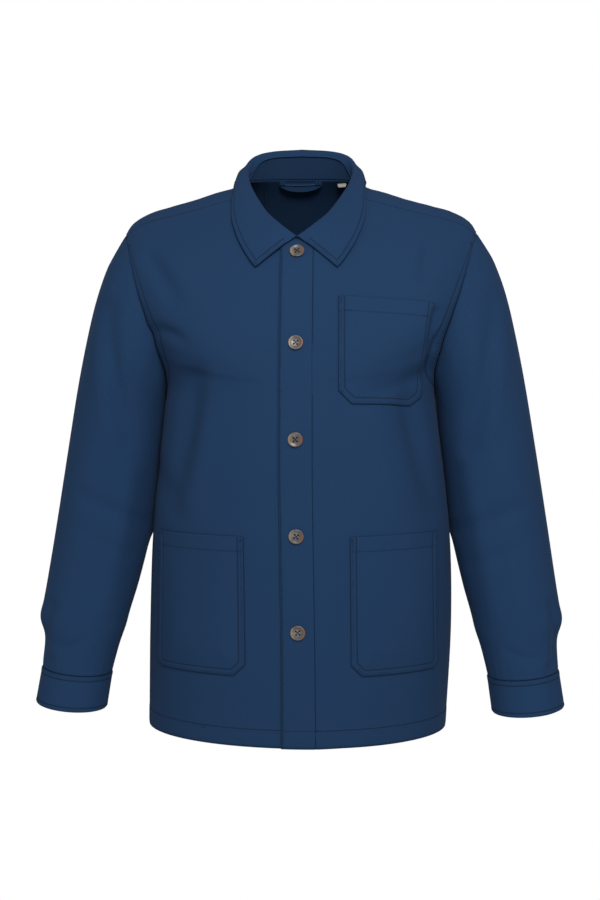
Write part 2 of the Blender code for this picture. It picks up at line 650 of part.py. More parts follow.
def make_button(button, material):
    """A turned disc with a raised rim and four holes, seated on the placket."""
    radius, thick = BUTTON_DIAMETER / 2, BUTTON_THICKNESS
    profile = [(0.0, 0.62), (0.62, 0.62), (0.78, 1.0), (0.92, 0.95), (1.0, 0.62), (0.97, 0.28),
               (0.72, 0.0), (0.0, 0.0)]
    mesh = bmesh.new()
    spokes = 20
    rings = []
    for share, height in profile:
        if share == 0.0:
            rings.append([mesh.verts.new((0, 0, height * thick))])
            continue
        turns = np.linspace(0, 2 * np.pi, spokes, endpoint=False)
        rings.append([mesh.verts.new((share * radius * np.cos(a), share * radius * np.sin(a),
                                      height * thick)) for a in turns])
    for upper, lower in zip(rings, rings[1:]):
        for k in range(spokes):
            n = (k + 1) % spokes
            if len(upper) == 1:
                mesh.faces.new((upper[0], lower[k], lower[n]))
            elif len(lower) == 1:
                mesh.faces.new((upper[n], upper[k], lower[0]))
            else:
                mesh.faces.new((upper[k], lower[k], lower[n], upper[n]))
    made = finished(button.node, mesh, material)
    drill = bmesh.new()
    for x in (-1, 1):
        for y in (-1, 1):
            hole = bmesh.ops.create_cone(drill, cap_ends=True, segments=8, radius1=HOLE_RADIUS,
                                         radius2=HOLE_RADIUS, depth=4 * thick)
            bmesh.ops.translate(drill, verts=hole["verts"],
                                vec=(x * HOLE_OFFSET, y * HOLE_OFFSET, 0))
    data = bpy.data.meshes.new(button.node + ".holes")
    drill.to_mesh(data)
    drill.free()
    cutter = bpy.data.objects.new(button.node + ".holes", data)
    bpy.context.scene.collection.objects.link(cutter)
    cutter.display_type = "WIRE"
    cutter.hide_render = True
    cutter.hide_viewport = False
    seat, normal = surface_at(BUTTON_X, button.z)
    turn = Vector(normal).to_track_quat("Z", "X")
    place = Vector(seat) + Vector(normal) * (DOUBLE_CLOTH + BUTTON_LIFT)
    for o in (made, cutter):
        o.rotation_mode = "QUATERNION"
        o.rotation_quaternion = turn
        o.location = place
    holes = made.modifiers.new("holes", "BOOLEAN")
    holes.operation = "DIFFERENCE"
    holes.solver = "EXACT"
    holes.object = cutter
    return made


def make_loop(material):
    """A narrow tape held at both ends under the neck seam. Its middle bows inward and hangs."""
    share = np.linspace(-1, 1, 13)
    bow = np.clip(1.15 - np.abs(share) ** 4 * 1.15, 0, 1)
    x = LOOP_HALF_WIDTH * share
    seat = np.array([inside_back(a, LOOP_TOP)[1] for a in x])
    y = seat - LOOP_STAND_OFF - LOOP_BOW * bow
    low_z = LOOP_FOOT - LOOP_DROP * np.sqrt(np.clip(1 - share**2, 0, 1))
    top = np.stack([x, y, np.full_like(x, LOOP_TOP)], 1)
    low = np.stack([x, y, low_z], 1)
    points = np.stack([top, low], 1)
    normals = outward_of(points)
    return cloth("hanger_loop", points, -normals, LOOP_CLOTH, material, stand_off=LOOP_CLOTH)


def inside_back(x, z):
    """A point of the back's inner surface at a place across and a height."""
    low, high = 0.0, 6.0
    for _ in range(40):
        middle = (low + high) / 2
        angle = 180 - angle_at(abs(x), middle, "left")
        if body_plain(angle, middle)[2] > z:
            low = middle
        else:
            high = middle
    angle = 180 - angle_at(abs(x), middle, "left")
    point = body_plain(angle, middle) - body_normal(angle, middle) * CLOTH
    return point * np.array([np.sign(x) if x else 1.0, 1, 1])


def make_size_tab(material):
    """A small blank tab caught in the neck seam."""
    x = np.linspace(TAB_LEFT, TAB_RIGHT, 3)
    top = np.array([inside_back(a, TAB_TOP) for a in x])
    top[:, 1] -= TAB_STAND_OFF
    low = top + np.array([0, -0.0012, -TAB_DEPTH])
    points = np.stack([top, low], 1)
    normals = outward_of(points)
    return cloth("size_tab", points, -normals, TAB_CLOTH, material, stand_off=TAB_CLOTH)


# --- The jacket ---------------------------------------------------------------------------------

for old in list(bpy.data.objects):
    bpy.data.objects.remove(old, do_unlink=True)

cotton = finish_of("indigo cotton", (0.020, 0.052, 0.118), 0.85)
inner_cotton = finish_of("indigo cotton, inner pieces", (0.016, 0.042, 0.098), 0.85)
pocket_cotton = finish_of("indigo cotton, pockets", (0.018, 0.048, 0.110), 0.85)
white_tape = finish_of("white tape", (0.75, 0.75, 0.72), 0.7)
horn = finish_of("horn", (0.16, 0.12, 0.10), 0.3)

for worn_side in ("right", "left"):
    make_front(worn_side, cotton)
    make_side_back(worn_side, cotton)
    make_sleeve(worn_side, cotton)
    make_cuff(worn_side, cotton)
make_centre_back(cotton)
make_placket(cotton)
make_stand(inner_cotton)
make_fall(cotton)
for pocket_row in POCKETS:
    make_pocket(pocket_row, pocket_cotton)
make_loop(inner_cotton)
make_size_tab(white_tape)
for button_row in BUTTONS:
    make_button(button_row, horn)
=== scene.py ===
"""The looks of a buttoned cotton chore jacket that keeps the hollow form it has when worn.

Metres, +Z up. The front faces -Y and the wearer's left is +X. The origin is the middle of the
shoulder line at the neck. Each cloth piece is a thin shell cut from the same body surface as its
solid, with its folds, its turned edges and its stitching.
"""

from collections import namedtuple

import bmesh
import bpy
import numpy as np
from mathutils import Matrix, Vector


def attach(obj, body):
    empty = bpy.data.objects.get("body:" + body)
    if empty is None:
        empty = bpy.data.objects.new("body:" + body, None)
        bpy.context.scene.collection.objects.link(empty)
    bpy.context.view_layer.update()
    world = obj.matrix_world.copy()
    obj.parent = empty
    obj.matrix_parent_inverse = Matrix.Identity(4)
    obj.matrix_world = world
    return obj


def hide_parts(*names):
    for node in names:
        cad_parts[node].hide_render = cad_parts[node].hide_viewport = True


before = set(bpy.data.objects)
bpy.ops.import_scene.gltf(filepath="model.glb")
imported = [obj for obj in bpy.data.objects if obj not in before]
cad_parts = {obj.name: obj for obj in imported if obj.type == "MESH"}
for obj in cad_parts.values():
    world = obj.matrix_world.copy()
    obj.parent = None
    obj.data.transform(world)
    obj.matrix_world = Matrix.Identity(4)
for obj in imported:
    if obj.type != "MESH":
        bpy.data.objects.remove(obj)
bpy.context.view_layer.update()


# --- The cotton ---------------------------------------------------------------------------------
# A matte indigo twill of about 300 grams a square metre, dyed in the piece. The dye is even, the
# face is slightly napped from washing, and seams pucker where the thread pulls the cloth in.
# Painted shade darkens the colour at the seams' rims, in the dents of their stitching and on
# the puckers.

def node_group(name, inputs, outputs):
    """An empty shader group with named sockets."""
    group = bpy.data.node_groups.new(name, "ShaderNodeTree")
    for label, kind, value in inputs:
        socket = group.interface.new_socket(label, in_out="INPUT", socket_type=kind)
        if value is not None:
            socket.default_value = value
    for label, kind in outputs:
        group.interface.new_socket(label, in_out="OUTPUT", socket_type=kind)
    return group, group.nodes.new("NodeGroupInput"), group.nodes.new("NodeGroupOutput")


def add(tree, kind, values=None, **settings):
    """A node with its settings and the values of its inputs."""
    made = tree.nodes.new(kind)
    for key, value in settings.items():
        setattr(made, key, value)
    for key, value in (values or {}).items():
        if isinstance(value, bpy.types.NodeSocket):
            tree.links.new(value, made.inputs[key])
        else:
            made.inputs[key].default_value = value
    return made


def maths(tree, operation, *values, clamp=False):
    made = add(tree, "ShaderNodeMath", dict(enumerate(values)), operation=operation)
    made.use_clamp = clamp
    return made.outputs[0]


def make_twill():
    """Diagonal ribs of warp floats, from a map in metres. Gives a height and a shade."""
    group, inward, outward = node_group(
        "twill",
        [("Map", "NodeSocketVector", None), ("Rib spacing", "NodeSocketFloat", 0.0007)],
        [("Height", "NodeSocketFloat"), ("Shade", "NodeSocketFloat")])
    place = add(group, "ShaderNodeSeparateXYZ", {0: inward.outputs["Map"]})
    wander = add(group, "ShaderNodeTexNoise", {"Vector": inward.outputs["Map"], "Scale": 900.0,
                                               "Detail": 2.0})
    diagonal = maths(group, "ADD", place.outputs[0], maths(group, "MULTIPLY", place.outputs[1], 0.6))
    turns = maths(group, "DIVIDE", diagonal, inward.outputs["Rib spacing"])
    uneven = maths(group, "MULTIPLY_ADD", wander.outputs["Fac"], 0.9, turns)
    rib = maths(group, "SINE", maths(group, "MULTIPLY", uneven, 6.2832))
    fuzz = add(group, "ShaderNodeTexNoise", {"Vector": inward.outputs["Map"], "Scale": 420.0,
                                             "Detail": 3.0, "Roughness": 0.7})
    height = maths(group, "MULTIPLY_ADD", rib, 0.25, fuzz.outputs["Fac"])
    shade = maths(group, "MULTIPLY_ADD", rib, 0.12, fuzz.outputs["Fac"])
    group.links.new(height, outward.inputs["Height"])
    group.links.new(shade, outward.inputs["Shade"])
    return group


def make_seam():
    """Puckers and the dent of a stitched line, from a map whose x runs along the seam and whose
    y is the distance to the edge, both in metres. Gives a height and a painted shade: the dent,
    the seam's rim and the puckers are drawn darker in the colour."""
    group, inward, outward = node_group(
        "seam",
        [("Map", "NodeSocketVector", None), ("Stitch line", "NodeSocketFloat", 0.0066),
         ("Pucker", "NodeSocketFloat", 1.0)],
        [("Height", "NodeSocketFloat"), ("Shade", "NodeSocketFloat")])
    place = add(group, "ShaderNodeSeparateXYZ", {0: inward.outputs["Map"]})
    run, away = place.outputs[0], place.outputs[1]
    uneven = add(group, "ShaderNodeTexNoise", {"Vector": inward.outputs["Map"], "Scale": 150.0,
                                               "Detail": 1.0})
    slant = maths(group, "MULTIPLY_ADD", away, 0.7, run)
    turns = maths(group, "MULTIPLY_ADD", uneven.outputs["Fac"], 2.0, maths(
        group, "MULTIPLY", slant, 2200.0))
    tick = maths(group, "SINE", turns)
    near = add(group, "ShaderNodeMapRange", {0: away, 1: 0.0005, 2: 0.0025, 3: 0.0, 4: 1.0},
               interpolation_type="SMOOTHSTEP")
    far = add(group, "ShaderNodeMapRange", {0: away, 1: 0.0028, 2: 0.0062, 3: 1.0, 4: 0.0},
              interpolation_type="SMOOTHSTEP")
    zone = maths(group, "MULTIPLY", near.outputs[0], far.outputs[0])
    sparse = maths(group, "MULTIPLY", zone, maths(
        group, "SUBTRACT", uneven.outputs["Fac"], 0.25, clamp=True))
    ticks = maths(group, "MULTIPLY", maths(group, "MULTIPLY", tick, sparse),
                  inward.outputs["Pucker"])
    # Painted shade: the stitched line's dent and the seam's rim are drawn dark in the colour, and so
    # are the puckers.
    off_line = maths(group, "DIVIDE", maths(
        group, "SUBTRACT", away, inward.outputs["Stitch line"]), 0.00075)
    dent = maths(group, "EXPONENT", maths(
        group, "MULTIPLY", maths(group, "MULTIPLY", off_line, off_line), -1.0))
    off_rim = maths(group, "DIVIDE", away, 0.0008)
    rim = maths(group, "EXPONENT", maths(
        group, "MULTIPLY", maths(group, "MULTIPLY", off_rim, off_rim), -1.0))
    height = maths(group, "SUBTRACT", maths(group, "MULTIPLY", ticks, 0.9), maths(
        group, "MULTIPLY", dent, 0.7))
    shade = maths(group, "MAXIMUM", maths(group, "MAXIMUM", dent, rim), maths(
        group, "MULTIPLY", ticks, 0.6))
    group.links.new(height, outward.inputs["Height"])
    group.links.new(shade, outward.inputs["Shade"])
    return group


twill, seam = make_twill(), make_seam()


def new_material(name):
    """A material with its node tree and its shader."""
    material = bpy.data.materials.new(name)
    material.use_nodes = True
    return material, material.node_tree, material.node_tree.nodes["Principled BSDF"]


def cotton(name, colour, pucker=1.0, stitched_at=0.0066):
    """Indigo twill. Colour varies a little with the dye and the ribs. Painted shade darkens it at
    the seams' rims, in the dents of their stitching and on their puckers.
    """
    material, tree, shader = new_material(name)
    cloth_map = add(tree, "ShaderNodeUVMap", uv_map="cloth")
    seam_map = add(tree, "ShaderNodeUVMap", uv_map="seam")
    weave = add(tree, "ShaderNodeGroup", node_tree=twill)
    tree.links.new(cloth_map.outputs[0], weave.inputs["Map"])
    edge = add(tree, "ShaderNodeGroup", node_tree=seam)
    tree.links.new(seam_map.outputs[0], edge.inputs["Map"])
    edge.inputs["Pucker"].default_value = pucker
    edge.inputs["Stitch line"].default_value = stitched_at
    where = add(tree, "ShaderNodeTexCoord")
    dye = add(tree, "ShaderNodeTexNoise", {"Vector": where.outputs["Object"], "Scale": 9.0,
                                           "Detail": 3.0})
    dye_ribs_and_painted_seam_shade = add(tree, "ShaderNodeHueSaturation", {"Color": (*colour, 1)})
    brighter = maths(tree, "MULTIPLY_ADD", weave.outputs["Shade"], 0.34, 0.81)
    dyed = maths(tree, "MULTIPLY_ADD", dye.outputs["Fac"], 0.10, -0.05)
    # Painted shade: the seam's rim, its stitched dent and its puckers darken the colour by up to 42
    # per cent.
    stitched = maths(tree, "MULTIPLY_ADD", edge.outputs["Shade"], -0.42, maths(
        tree, "ADD", brighter, dyed))
    tree.links.new(stitched, dye_ribs_and_painted_seam_shade.inputs["Value"])
    tree.links.new(dye_ribs_and_painted_seam_shade.outputs[0], shader.inputs["Base Color"])
    shader.inputs["Roughness"].default_value = 0.92
    shader.inputs["Specular IOR Level"].default_value = 0.10
    shader.inputs["Sheen Weight"].default_value = 0.05
    shader.inputs["Sheen Roughness"].default_value = 0.40
    shader.inputs["Sheen Tint"].default_value = (0.45, 0.62, 0.95, 1)
    threads = add(tree, "ShaderNodeBump", {"Height": weave.outputs["Height"], "Strength": 0.35,
                                           "Distance": 0.0004})
    puckers = add(tree, "ShaderNodeBump", {"Height": edge.outputs["Height"], "Strength": 0.9,
                                           "Distance": 0.0007, "Normal": threads.outputs[0]})
    tree.links.new(puckers.outputs[0], shader.inputs["Normal"])
    return material


INDIGO = (0.0182, 0.0530, 0.1290)
body_cotton = cotton("indigo twill, body", INDIGO)
# The panels' inner faces are coloured about half as bright as the face: painted shade inside the
# jacket.
reverse_cotton_painted_shade = cotton("indigo twill, reverse, painted shade", (0.0085, 0.0260, 0.0640), 0.0, -0.02)


# --- The two fronts -----------------------------------------------------------------------------
# Two flat-cut pieces of twill, joined to the backs at the shoulder and side seams. Soft folds
# drag from the armholes down to the hips. The hem is turned up 24 mm and stitched once.

CLOTH = 0.0013
DOUBLE_CLOTH = 0.0020
SEAM_GAP = 0.0003
PLACKET_HALF_WIDTH = 0.0216
UNDERLAP = 0.0245        # the right front runs on this far under the left one

# Body rings from the neck seam (0) past the armpit (9) to the hem (13). side_l and side_r are
# half widths on the wearer's left and right; z_side, z_front and z_back are the ring's heights.
Ring = namedtuple("Ring", "level side_l side_r y_side z_side y_front z_front y_back z_back")
BODY = [
    Ring(0, 0.081, 0.081, 0.000, 0.0010, -0.0930, -0.0975, 0.0620, 0.0266),
    Ring(1, 0.118, 0.118, 0.004, -0.0070, -0.1050, -0.1220, 0.0800, 0.0060),
    Ring(2, 0.150, 0.150, 0.007, -0.0165, -0.1150, -0.1480, 0.0940, -0.0200),
    Ring(3, 0.185, 0.185, 0.009, -0.0255, -0.1250, -0.1800, 0.1060, -0.0560),
    Ring(4, 0.220, 0.220, 0.009, -0.0365, -0.1330, -0.2130, 0.1140, -0.0950),
    Ring(5, 0.246, 0.246, 0.008, -0.0565, -0.1385, -0.2400, 0.1190, -0.1350),
    Ring(6, 0.254, 0.254, 0.006, -0.0960, -0.1415, -0.2580, 0.1220, -0.1750),
    Ring(7, 0.242, 0.242, 0.004, -0.1500, -0.1435, -0.2720, 0.1230, -0.2150),
    Ring(8, 0.215, 0.215, 0.002, -0.2150, -0.1450, -0.2850, 0.1225, -0.2500),
    Ring(9, 0.1895, 0.1885, 0.000, -0.2850, -0.1460, -0.3020, 0.1200, -0.2950),
    Ring(9.4, 0.1925, 0.1920, 0.000, -0.3150, -0.1473, -0.3300, 0.1175, -0.3230),
    Ring(10, 0.1985, 0.1975, 0.000, -0.3700, -0.1485, -0.3750, 0.1130, -0.3700),
    Ring(10.5, 0.2055, 0.2035, 0.000, -0.4275, -0.1487, -0.4300, 0.1105, -0.4275),
    Ring(11, 0.2110, 0.2085, 0.000, -0.4850, -0.1485, -0.4850, 0.1080, -0.4850),
    Ring(12, 0.2135, 0.2130, 0.000, -0.6150, -0.1440, -0.6150, 0.1100, -0.6150),
    Ring(13, 0.2055, 0.2145, 0.000, -0.7600, -0.1370, -0.7595, 0.1160, -0.7660),
]
RING_LIFT = 1.5          # how quickly a ring climbs from the front or back to its side
NECK_LIFT = 0.7          # the same for the back of the neck seam, which is nearly level
HEM_SWAY = 0.0042        # how far the centre front drifts to the worn left at the hem
SHOULDER_DROP = 0.009    # the wearer's left shoulder hangs this much lower, for each metre across
NECK_SEAM_ANGLE = 67.0   # where the shoulder seam leaves the neck, in degrees from the front
TIP_LEVEL = 5.2          # the shoulder seam's outer end, at the top of the armhole
TIP_ANGLE = 80.0
ARMPIT_LEVEL = 9.0
HEM_LEVEL = 13.0
ARMHOLE_FRONT = 26.0     # how far the armhole cuts into the front and the back, in degrees
ARMHOLE_BACK = 34.0
HEM_TURN_UP = 0.0235
MIRROR = {"left": 1.0, "right": -1.0}
STITCH_LINE = 0.0066     # the topstitching's distance from a turned edge
ARMHOLE_WELT = 0.0220    # the same round the armhole, where the edge turns under the sleeve

# Folds run from point 1 through 2 to 3, on the front or the back, in x and z. x is measured to
# the worn side. A trough has raised sides, and a negative depth is a ridge.
Fold = namedtuple("Fold", "side face x1 z1 x2 z2 x3 z3 width depth")
FOLDS = [
    Fold("right", "front", .134, -.284, .143, -.345, .164, -.425, .0240, .0082),
    Fold("right", "front", .192, -.214, .170, -.216, .150, -.232, .0120, .0046),
    Fold("right", "front", .204, -.112, .184, -.136, .160, -.176, .0150, .0062),
    Fold("right", "front", .118, -.300, .128, -.390, .150, -.475, .0240, -.0030),
    Fold("right", "front", .196, -.400, .180, -.440, .150, -.470, .0200, .0030),
    Fold("left", "front", .146, -.310, .160, -.370, .184, -.450, .0200, .0085),
    Fold("left", "front", .184, -.194, .178, -.235, .173, -.280, .0095, .0085),
    Fold("left", "front", .176, -.104, .171, -.128, .168, -.148, .0120, .0046),
    Fold("left", "front", .174, -.268, .146, -.288, .108, -.298, .0130, .0032),
    Fold("left", "front", .102, -.330, .120, -.420, .148, -.480, .0240, -.0028),
    Fold("right", "back", .185, -.262, .140, -.330, .085, -.420, .0240, .0070),
    Fold("left", "back", .185, -.270, .140, -.345, .095, -.440, .0240, .0070),
    Fold("right", "back", .165, -.130, .110, -.170, .060, -.220, .0200, .0034),
    Fold("left", "back", .170, -.120, .120, -.155, .070, -.200, .0200, .0034),
    Fold("right", "back", .120, -.470, .150, -.560, .160, -.650, .0300, .0044),
    Fold("left", "back", .115, -.500, .145, -.600, .150, -.700, .0300, .0044),
]


def through(table, at):
    """The values of a smooth curve through a table's rows, read at parameters 'at'."""
    rows = np.array([[v for v in row if not isinstance(v, str)] for row in table], float)
    knots, values = rows[:, 0], rows[:, 1:]
    slopes = np.gradient(values, knots, axis=0)
    at = np.asarray(at, float)
    low = np.clip(np.searchsorted(knots, at, side="right") - 1, 0, len(knots) - 2)
    span = (knots[low + 1] - knots[low])[..., None]
    f = (at - knots[low])[..., None] / span
    start = (2 * f**3 - 3 * f**2 + 1) * values[low] + (f**3 - 2 * f**2 + f) * span * slopes[low]
    end = (3 * f**2 - 2 * f**3) * values[low + 1] + (f**3 - f**2) * span * slopes[low + 1]
    return start + end


def unit(v):
    return v / np.maximum(np.linalg.norm(v, axis=-1, keepdims=True), 1e-12)


def run_along(points, axis=0):
    """The distance of each point from the first one, along the rows or columns of a grid."""
    steps = np.cumsum(np.linalg.norm(np.diff(points, axis=axis), axis=-1), axis=axis)
    return np.concatenate([np.zeros_like(np.take(steps, [0], axis)), steps], axis)


def ease(t):
    t = np.clip(t, 0.0, 1.0)
    return t * t * (3 - 2 * t)


def creased(points, normals, folds, side):
    """Points moved along their normals by one side's troughs and ridges."""
    height = np.zeros(points.shape[:-1])
    mirror = np.array([MIRROR[side], 1.0])
    flat = points[..., [0, 2]]
    for fold in folds:
        if fold.side != side:
            continue
        facing = -1.0 if fold.face == "front" else 1.0
        seen = ease((facing * normals[..., 1] + 0.05) / 0.40)
        ends = np.array([fold[2:4], fold[4:6], fold[6:8]]) * mirror
        t = np.linspace(0, 1, 13)[:, None]
        path = (1 - t) ** 2 * ends[0] + 2 * t * (1 - t) * ends[1] + t**2 * ends[2]
        best = np.full(points.shape[:-1], 9.0)
        along = np.zeros(points.shape[:-1])
        for k, (a, b) in enumerate(zip(path, path[1:])):
            share = np.clip((flat - a) @ (b - a) / ((b - a) @ (b - a)), 0, 1)
            away = np.linalg.norm(flat - (a + share[..., None] * (b - a)), axis=-1)
            along = np.where(away < best, (k + share) / (len(path) - 1), along)
            best = np.minimum(best, away)
        q = (best / fold.width) ** 2
        taper = 0.25 + 0.75 * np.sin(np.pi * (0.18 + 0.74 * along))
        height -= fold.depth * seen * taper * (1 - 0.8 * q) * np.exp(-q)
    return points + normals * height[..., None]


def body_plain(angle, level):
    """The body's outer surface. angle runs from 0 at the front to 180 at the back over the
    wearer's left, and is negative over the right."""
    angle, level = np.broadcast_arrays(np.asarray(angle, float), np.asarray(level, float))
    ring = np.moveaxis(through(BODY, level), -1, 0)
    side_l, side_r, y_side, z_side, y_front, z_front, y_back, z_back = ring
    turn = np.radians(angle)
    across = np.where(angle >= 0, side_l, side_r) * np.sin(turn)
    facing = np.cos(turn)
    y_end = np.where(facing >= 0, y_front, y_back)
    z_end = np.where(facing >= 0, z_front, z_back)
    share = np.abs(facing)
    drop = SHOULDER_DROP * across * (1 - ease(level / ARMPIT_LEVEL))
    flat_neck = (RING_LIFT - NECK_LIFT) * (1 - ease(level / 1.6)) * (facing < 0)
    sway = HEM_SWAY * ease((level - 10) / 3) * np.exp(-(across / 0.10) ** 2) * (facing > 0)
    return np.stack([across + sway, y_side + (y_end - y_side) * share,
                     z_side + (z_end - z_side) * share ** (RING_LIFT - flat_neck) - drop], -1)


def body_normal(angle, level):
    """Outward normals of the body's plain surface."""
    angle, level = np.broadcast_arrays(np.asarray(angle, float), np.asarray(level, float))
    low, high = np.clip(level - 0.02, 0, HEM_LEVEL), np.clip(level + 0.02, 0, HEM_LEVEL)
    round_the_ring = body_plain(angle + 0.5, level) - body_plain(angle - 0.5, level)
    down = body_plain(angle, high) - body_plain(angle, low)
    return unit(np.cross(down, round_the_ring))


def body(angle, level, side):
    points, normals = body_plain(angle, level), body_normal(angle, level)
    return creased(points, normals, FOLDS, side), normals


def angle_at(across, level, side):
    """The angle at which a ring is that far from the centre line."""
    half = through(BODY, level)[..., 0 if side == "left" else 1]
    return np.degrees(np.arcsin(np.clip(across / half, -1, 1)))


def armhole(turn):
    """Level and angle of the armhole's edge. turn is 0 at its top, 90 at the front, 180 at
    the armpit and 270 at the back."""
    turn = np.radians(np.asarray(turn, float))
    drop = (1 - np.cos(turn)) / 2
    level = TIP_LEVEL + (ARMPIT_LEVEL - TIP_LEVEL) * drop
    middle = TIP_ANGLE + (90 - TIP_ANGLE) * drop
    reach = np.where(np.sin(turn) >= 0, ARMHOLE_FRONT, ARMHOLE_BACK)
    return level, middle - reach * np.sin(turn)


NECK_ROWS, ARMHOLE_ROWS, LOWER_ROWS = 44, 64, 120


def panel_rows(toward_back):
    """The levels of a panel's rows, and the angle of its outer edge on each."""
    neck = np.linspace(0, TIP_LEVEL, NECK_ROWS + 1)[:-1]
    seam_angle = NECK_SEAM_ANGLE + (TIP_ANGLE - NECK_SEAM_ANGLE) * neck / TIP_LEVEL
    turns = np.linspace(0, 180, ARMHOLE_ROWS + 1)
    hole_level, hole_angle = armhole(360 - turns if toward_back else turns)
    lower = np.linspace(ARMPIT_LEVEL, HEM_LEVEL, LOWER_ROWS + 1)[1:]
    levels = np.concatenate([neck, hole_level, lower])
    edges = np.concatenate([seam_angle, hole_angle, np.full(len(lower), 90.0)])
    return levels, edges


# Distances from a sewn edge at which the cloth needs a line of points, for its turned edge and
# the dent of its topstitching.
EDGE_LINES = np.array([0, 0.0006, 0.0014, 0.0026, 0.0042, 0.0056, 0.0062, 0.0068, 0.0076, 0.0095])


def by_armhole(rows):
    """1 on the rows beside the armhole, falling to 0 just above and below them."""
    return ease((rows - NECK_ROWS + 6) / 8.0) * (1 - ease(
        (rows - NECK_ROWS - ARMHOLE_ROWS + 2) / 6.0))


def spread(first, last, level, columns, side, hole_first=False, hole_last=False):
    """Angles of a panel's columns: close together near both edges and even between them. Beside
    an armhole the close ones reach out to its wider welt."""
    mirror = MIRROR[side]
    steps = np.linspace(0, 1, 40)
    angles = first[:, None] + (last - first)[:, None] * steps
    line = body_plain(mirror * angles, level[:, None])
    lengths = run_along(line, 1)
    spots = []
    wider = 1 + (ARMHOLE_WELT / STITCH_LINE - 1) * by_armhole(np.arange(len(level)))
    for run, row, factor in zip(lengths, angles, wider):
        whole = run[-1]
        near = EDGE_LINES * min(1.0, whole / 0.03) * (factor if hole_first else 1.0)
        far = EDGE_LINES * min(1.0, whole / 0.03) * (factor if hole_last else 1.0)
        middle = np.linspace(near[-1], whole - far[-1], columns + 2)[1:-1]
        spots.append(np.interp(np.concatenate([near, middle, whole - far[::-1]]), run, row))
    return np.array(spots)


def from_edges(points, left=True, right=True, top=False, bottom=False):
    """For each point of a grid, the distance to the nearest sewn edge and the place along it."""
    to_left, to_top = run_along(points, 1), run_along(points)
    along_rows, along_columns = to_top.mean(1, keepdims=True), to_left.mean(0, keepdims=True)
    away, run = np.ones_like(to_left), np.zeros_like(to_left)
    sides = ((left, to_left, along_rows), (right, to_left[:, -1:] - to_left, along_rows + 2),
             (top, to_top, along_columns + 4), (bottom, to_top[-1:] - to_top, along_columns + 6))
    for wanted, distance, place in sides:
        if wanted:
            run = np.where(distance < away, np.broadcast_to(place, run.shape), run)
            away = np.minimum(away, distance)
    return away, run


def turned_edge(away, run, welt=0.00035, dent=0.00022, at=0.0066):
    """Height of a stitched edge: rolled over at its rim, raised, and dented under the thread."""
    wobble = np.sin(run * 620) * 0.35 + np.sin(run * 1130 + 1.3) * 0.3 + np.sin(run * 240) * 0.35
    raised = ease(away / 0.0018) * (1 - ease((away - at + 0.0022) / 0.0022))
    return (welt * raised * (1 + 0.55 * wobble) - dent * np.exp(-((away - at) / 0.0007) ** 2)
            - 0.00030 * (1 - ease(away / 0.0010)))


def eased_in(points, first, last, lap=SEAM_GAP / 2):
    """A grid whose first or last column runs just past its seam, so that the seam is closed."""
    moved = points.copy()
    for wanted, edge, inner in ((first, 0, 1), (last, -1, -2)):
        if wanted:
            moved[:, edge] -= unit(points[:, inner] - points[:, edge]) * lap
    return moved


def linked(name, data):
    """A new object in the scene."""
    made = bpy.data.objects.new(name, data)
    bpy.context.scene.collection.objects.link(made)
    return made


def shell(name, outer, normals, thickness, material, edge=None, closed=False, cloth_map=None,
          capped=False, reverse=None):
    """A closed wall of cloth: a grid of points, its inner copy and its edges, with a map of the
    weave in metres and a map of its sewn edges."""
    rows, columns = outer.shape[:2]
    if cloth_map is None:
        across, down = run_along(outer[rows // 2]), run_along(outer[:, columns // 2])
        cloth_map = np.stack(np.broadcast_arrays(across[None, :], down[:, None]), -1)
    seam_map = np.stack([edge[1], edge[0]], -1) if edge else np.full((rows, columns, 2), 1.0)
    wrap = columns if closed else columns - 1
    r, c = np.meshgrid(np.arange(rows - 1), np.arange(wrap), indexing="ij")
    d, size = (c + 1) % columns, rows * columns
    quads = np.stack([r * columns + c, (r + 1) * columns + c, (r + 1) * columns + d,
                      r * columns + d], -1).reshape(-1, 4)
    c = np.arange(wrap)
    d = (c + 1) % columns
    last = (rows - 1) * columns
    rims = [np.stack([c, d, d + size, c + size], -1),
            np.stack([last + c, last + c + size, last + d + size, last + d], -1)]
    if capped:
        rims.pop()
    if not closed:
        r = np.arange(rows - 1) * columns
        right = r + columns - 1
        rims += [np.stack([r, r + size, r + columns + size, r + columns], -1),
                 np.stack([right, right + columns, right + columns + size, right + size], -1)]
    faces = np.concatenate([quads, quads[:, ::-1] + size] + rims)
    points = np.concatenate([outer.reshape(-1, 3), (outer - normals * thickness).reshape(-1, 3)])
    faces = faces.tolist()
    if capped:
        cap = list(range(last, last + columns))
        faces += [cap[::-1], [size + k for k in cap]]
    centre_out = np.cross(outer[1, 1] - outer[0, 1], outer[1, 1] - outer[1, 0])
    if np.dot(centre_out, normals[1, 1]) < 0:
        faces = [face[::-1] for face in faces]
    data = bpy.data.meshes.new(name)
    data.from_pydata(points.tolist(), [], faces)
    data.shade_smooth()
    maps = (("cloth", cloth_map), ("seam", seam_map))
    corner_points = np.empty(len(data.loops), int)
    data.loops.foreach_get("vertex_index", corner_points)
    for label, values in maps:
        layer = data.uv_layers.new(name=label)
        both = np.concatenate([values.reshape(-1, 2)] * 2)
        layer.data.foreach_set("uv", both[corner_points].astype(np.float32).ravel())
    data.materials.append(material)
    if reverse:
        data.materials.append(reverse)
        data.polygons.foreach_set("material_index", np.repeat(
            [0, 1, 0], [len(quads), len(quads), len(faces) - 2 * len(quads)]).astype(np.int32))
    return linked(name, data)


def sew_on(piece, node):
    """Attach a piece of cloth to the root and hide the solid it stands for."""
    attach(piece, "root")
    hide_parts(node)


stitches = []   # (points, normals) of each stitched line, sewn at the end
tacks = []      # the same for each bar tack


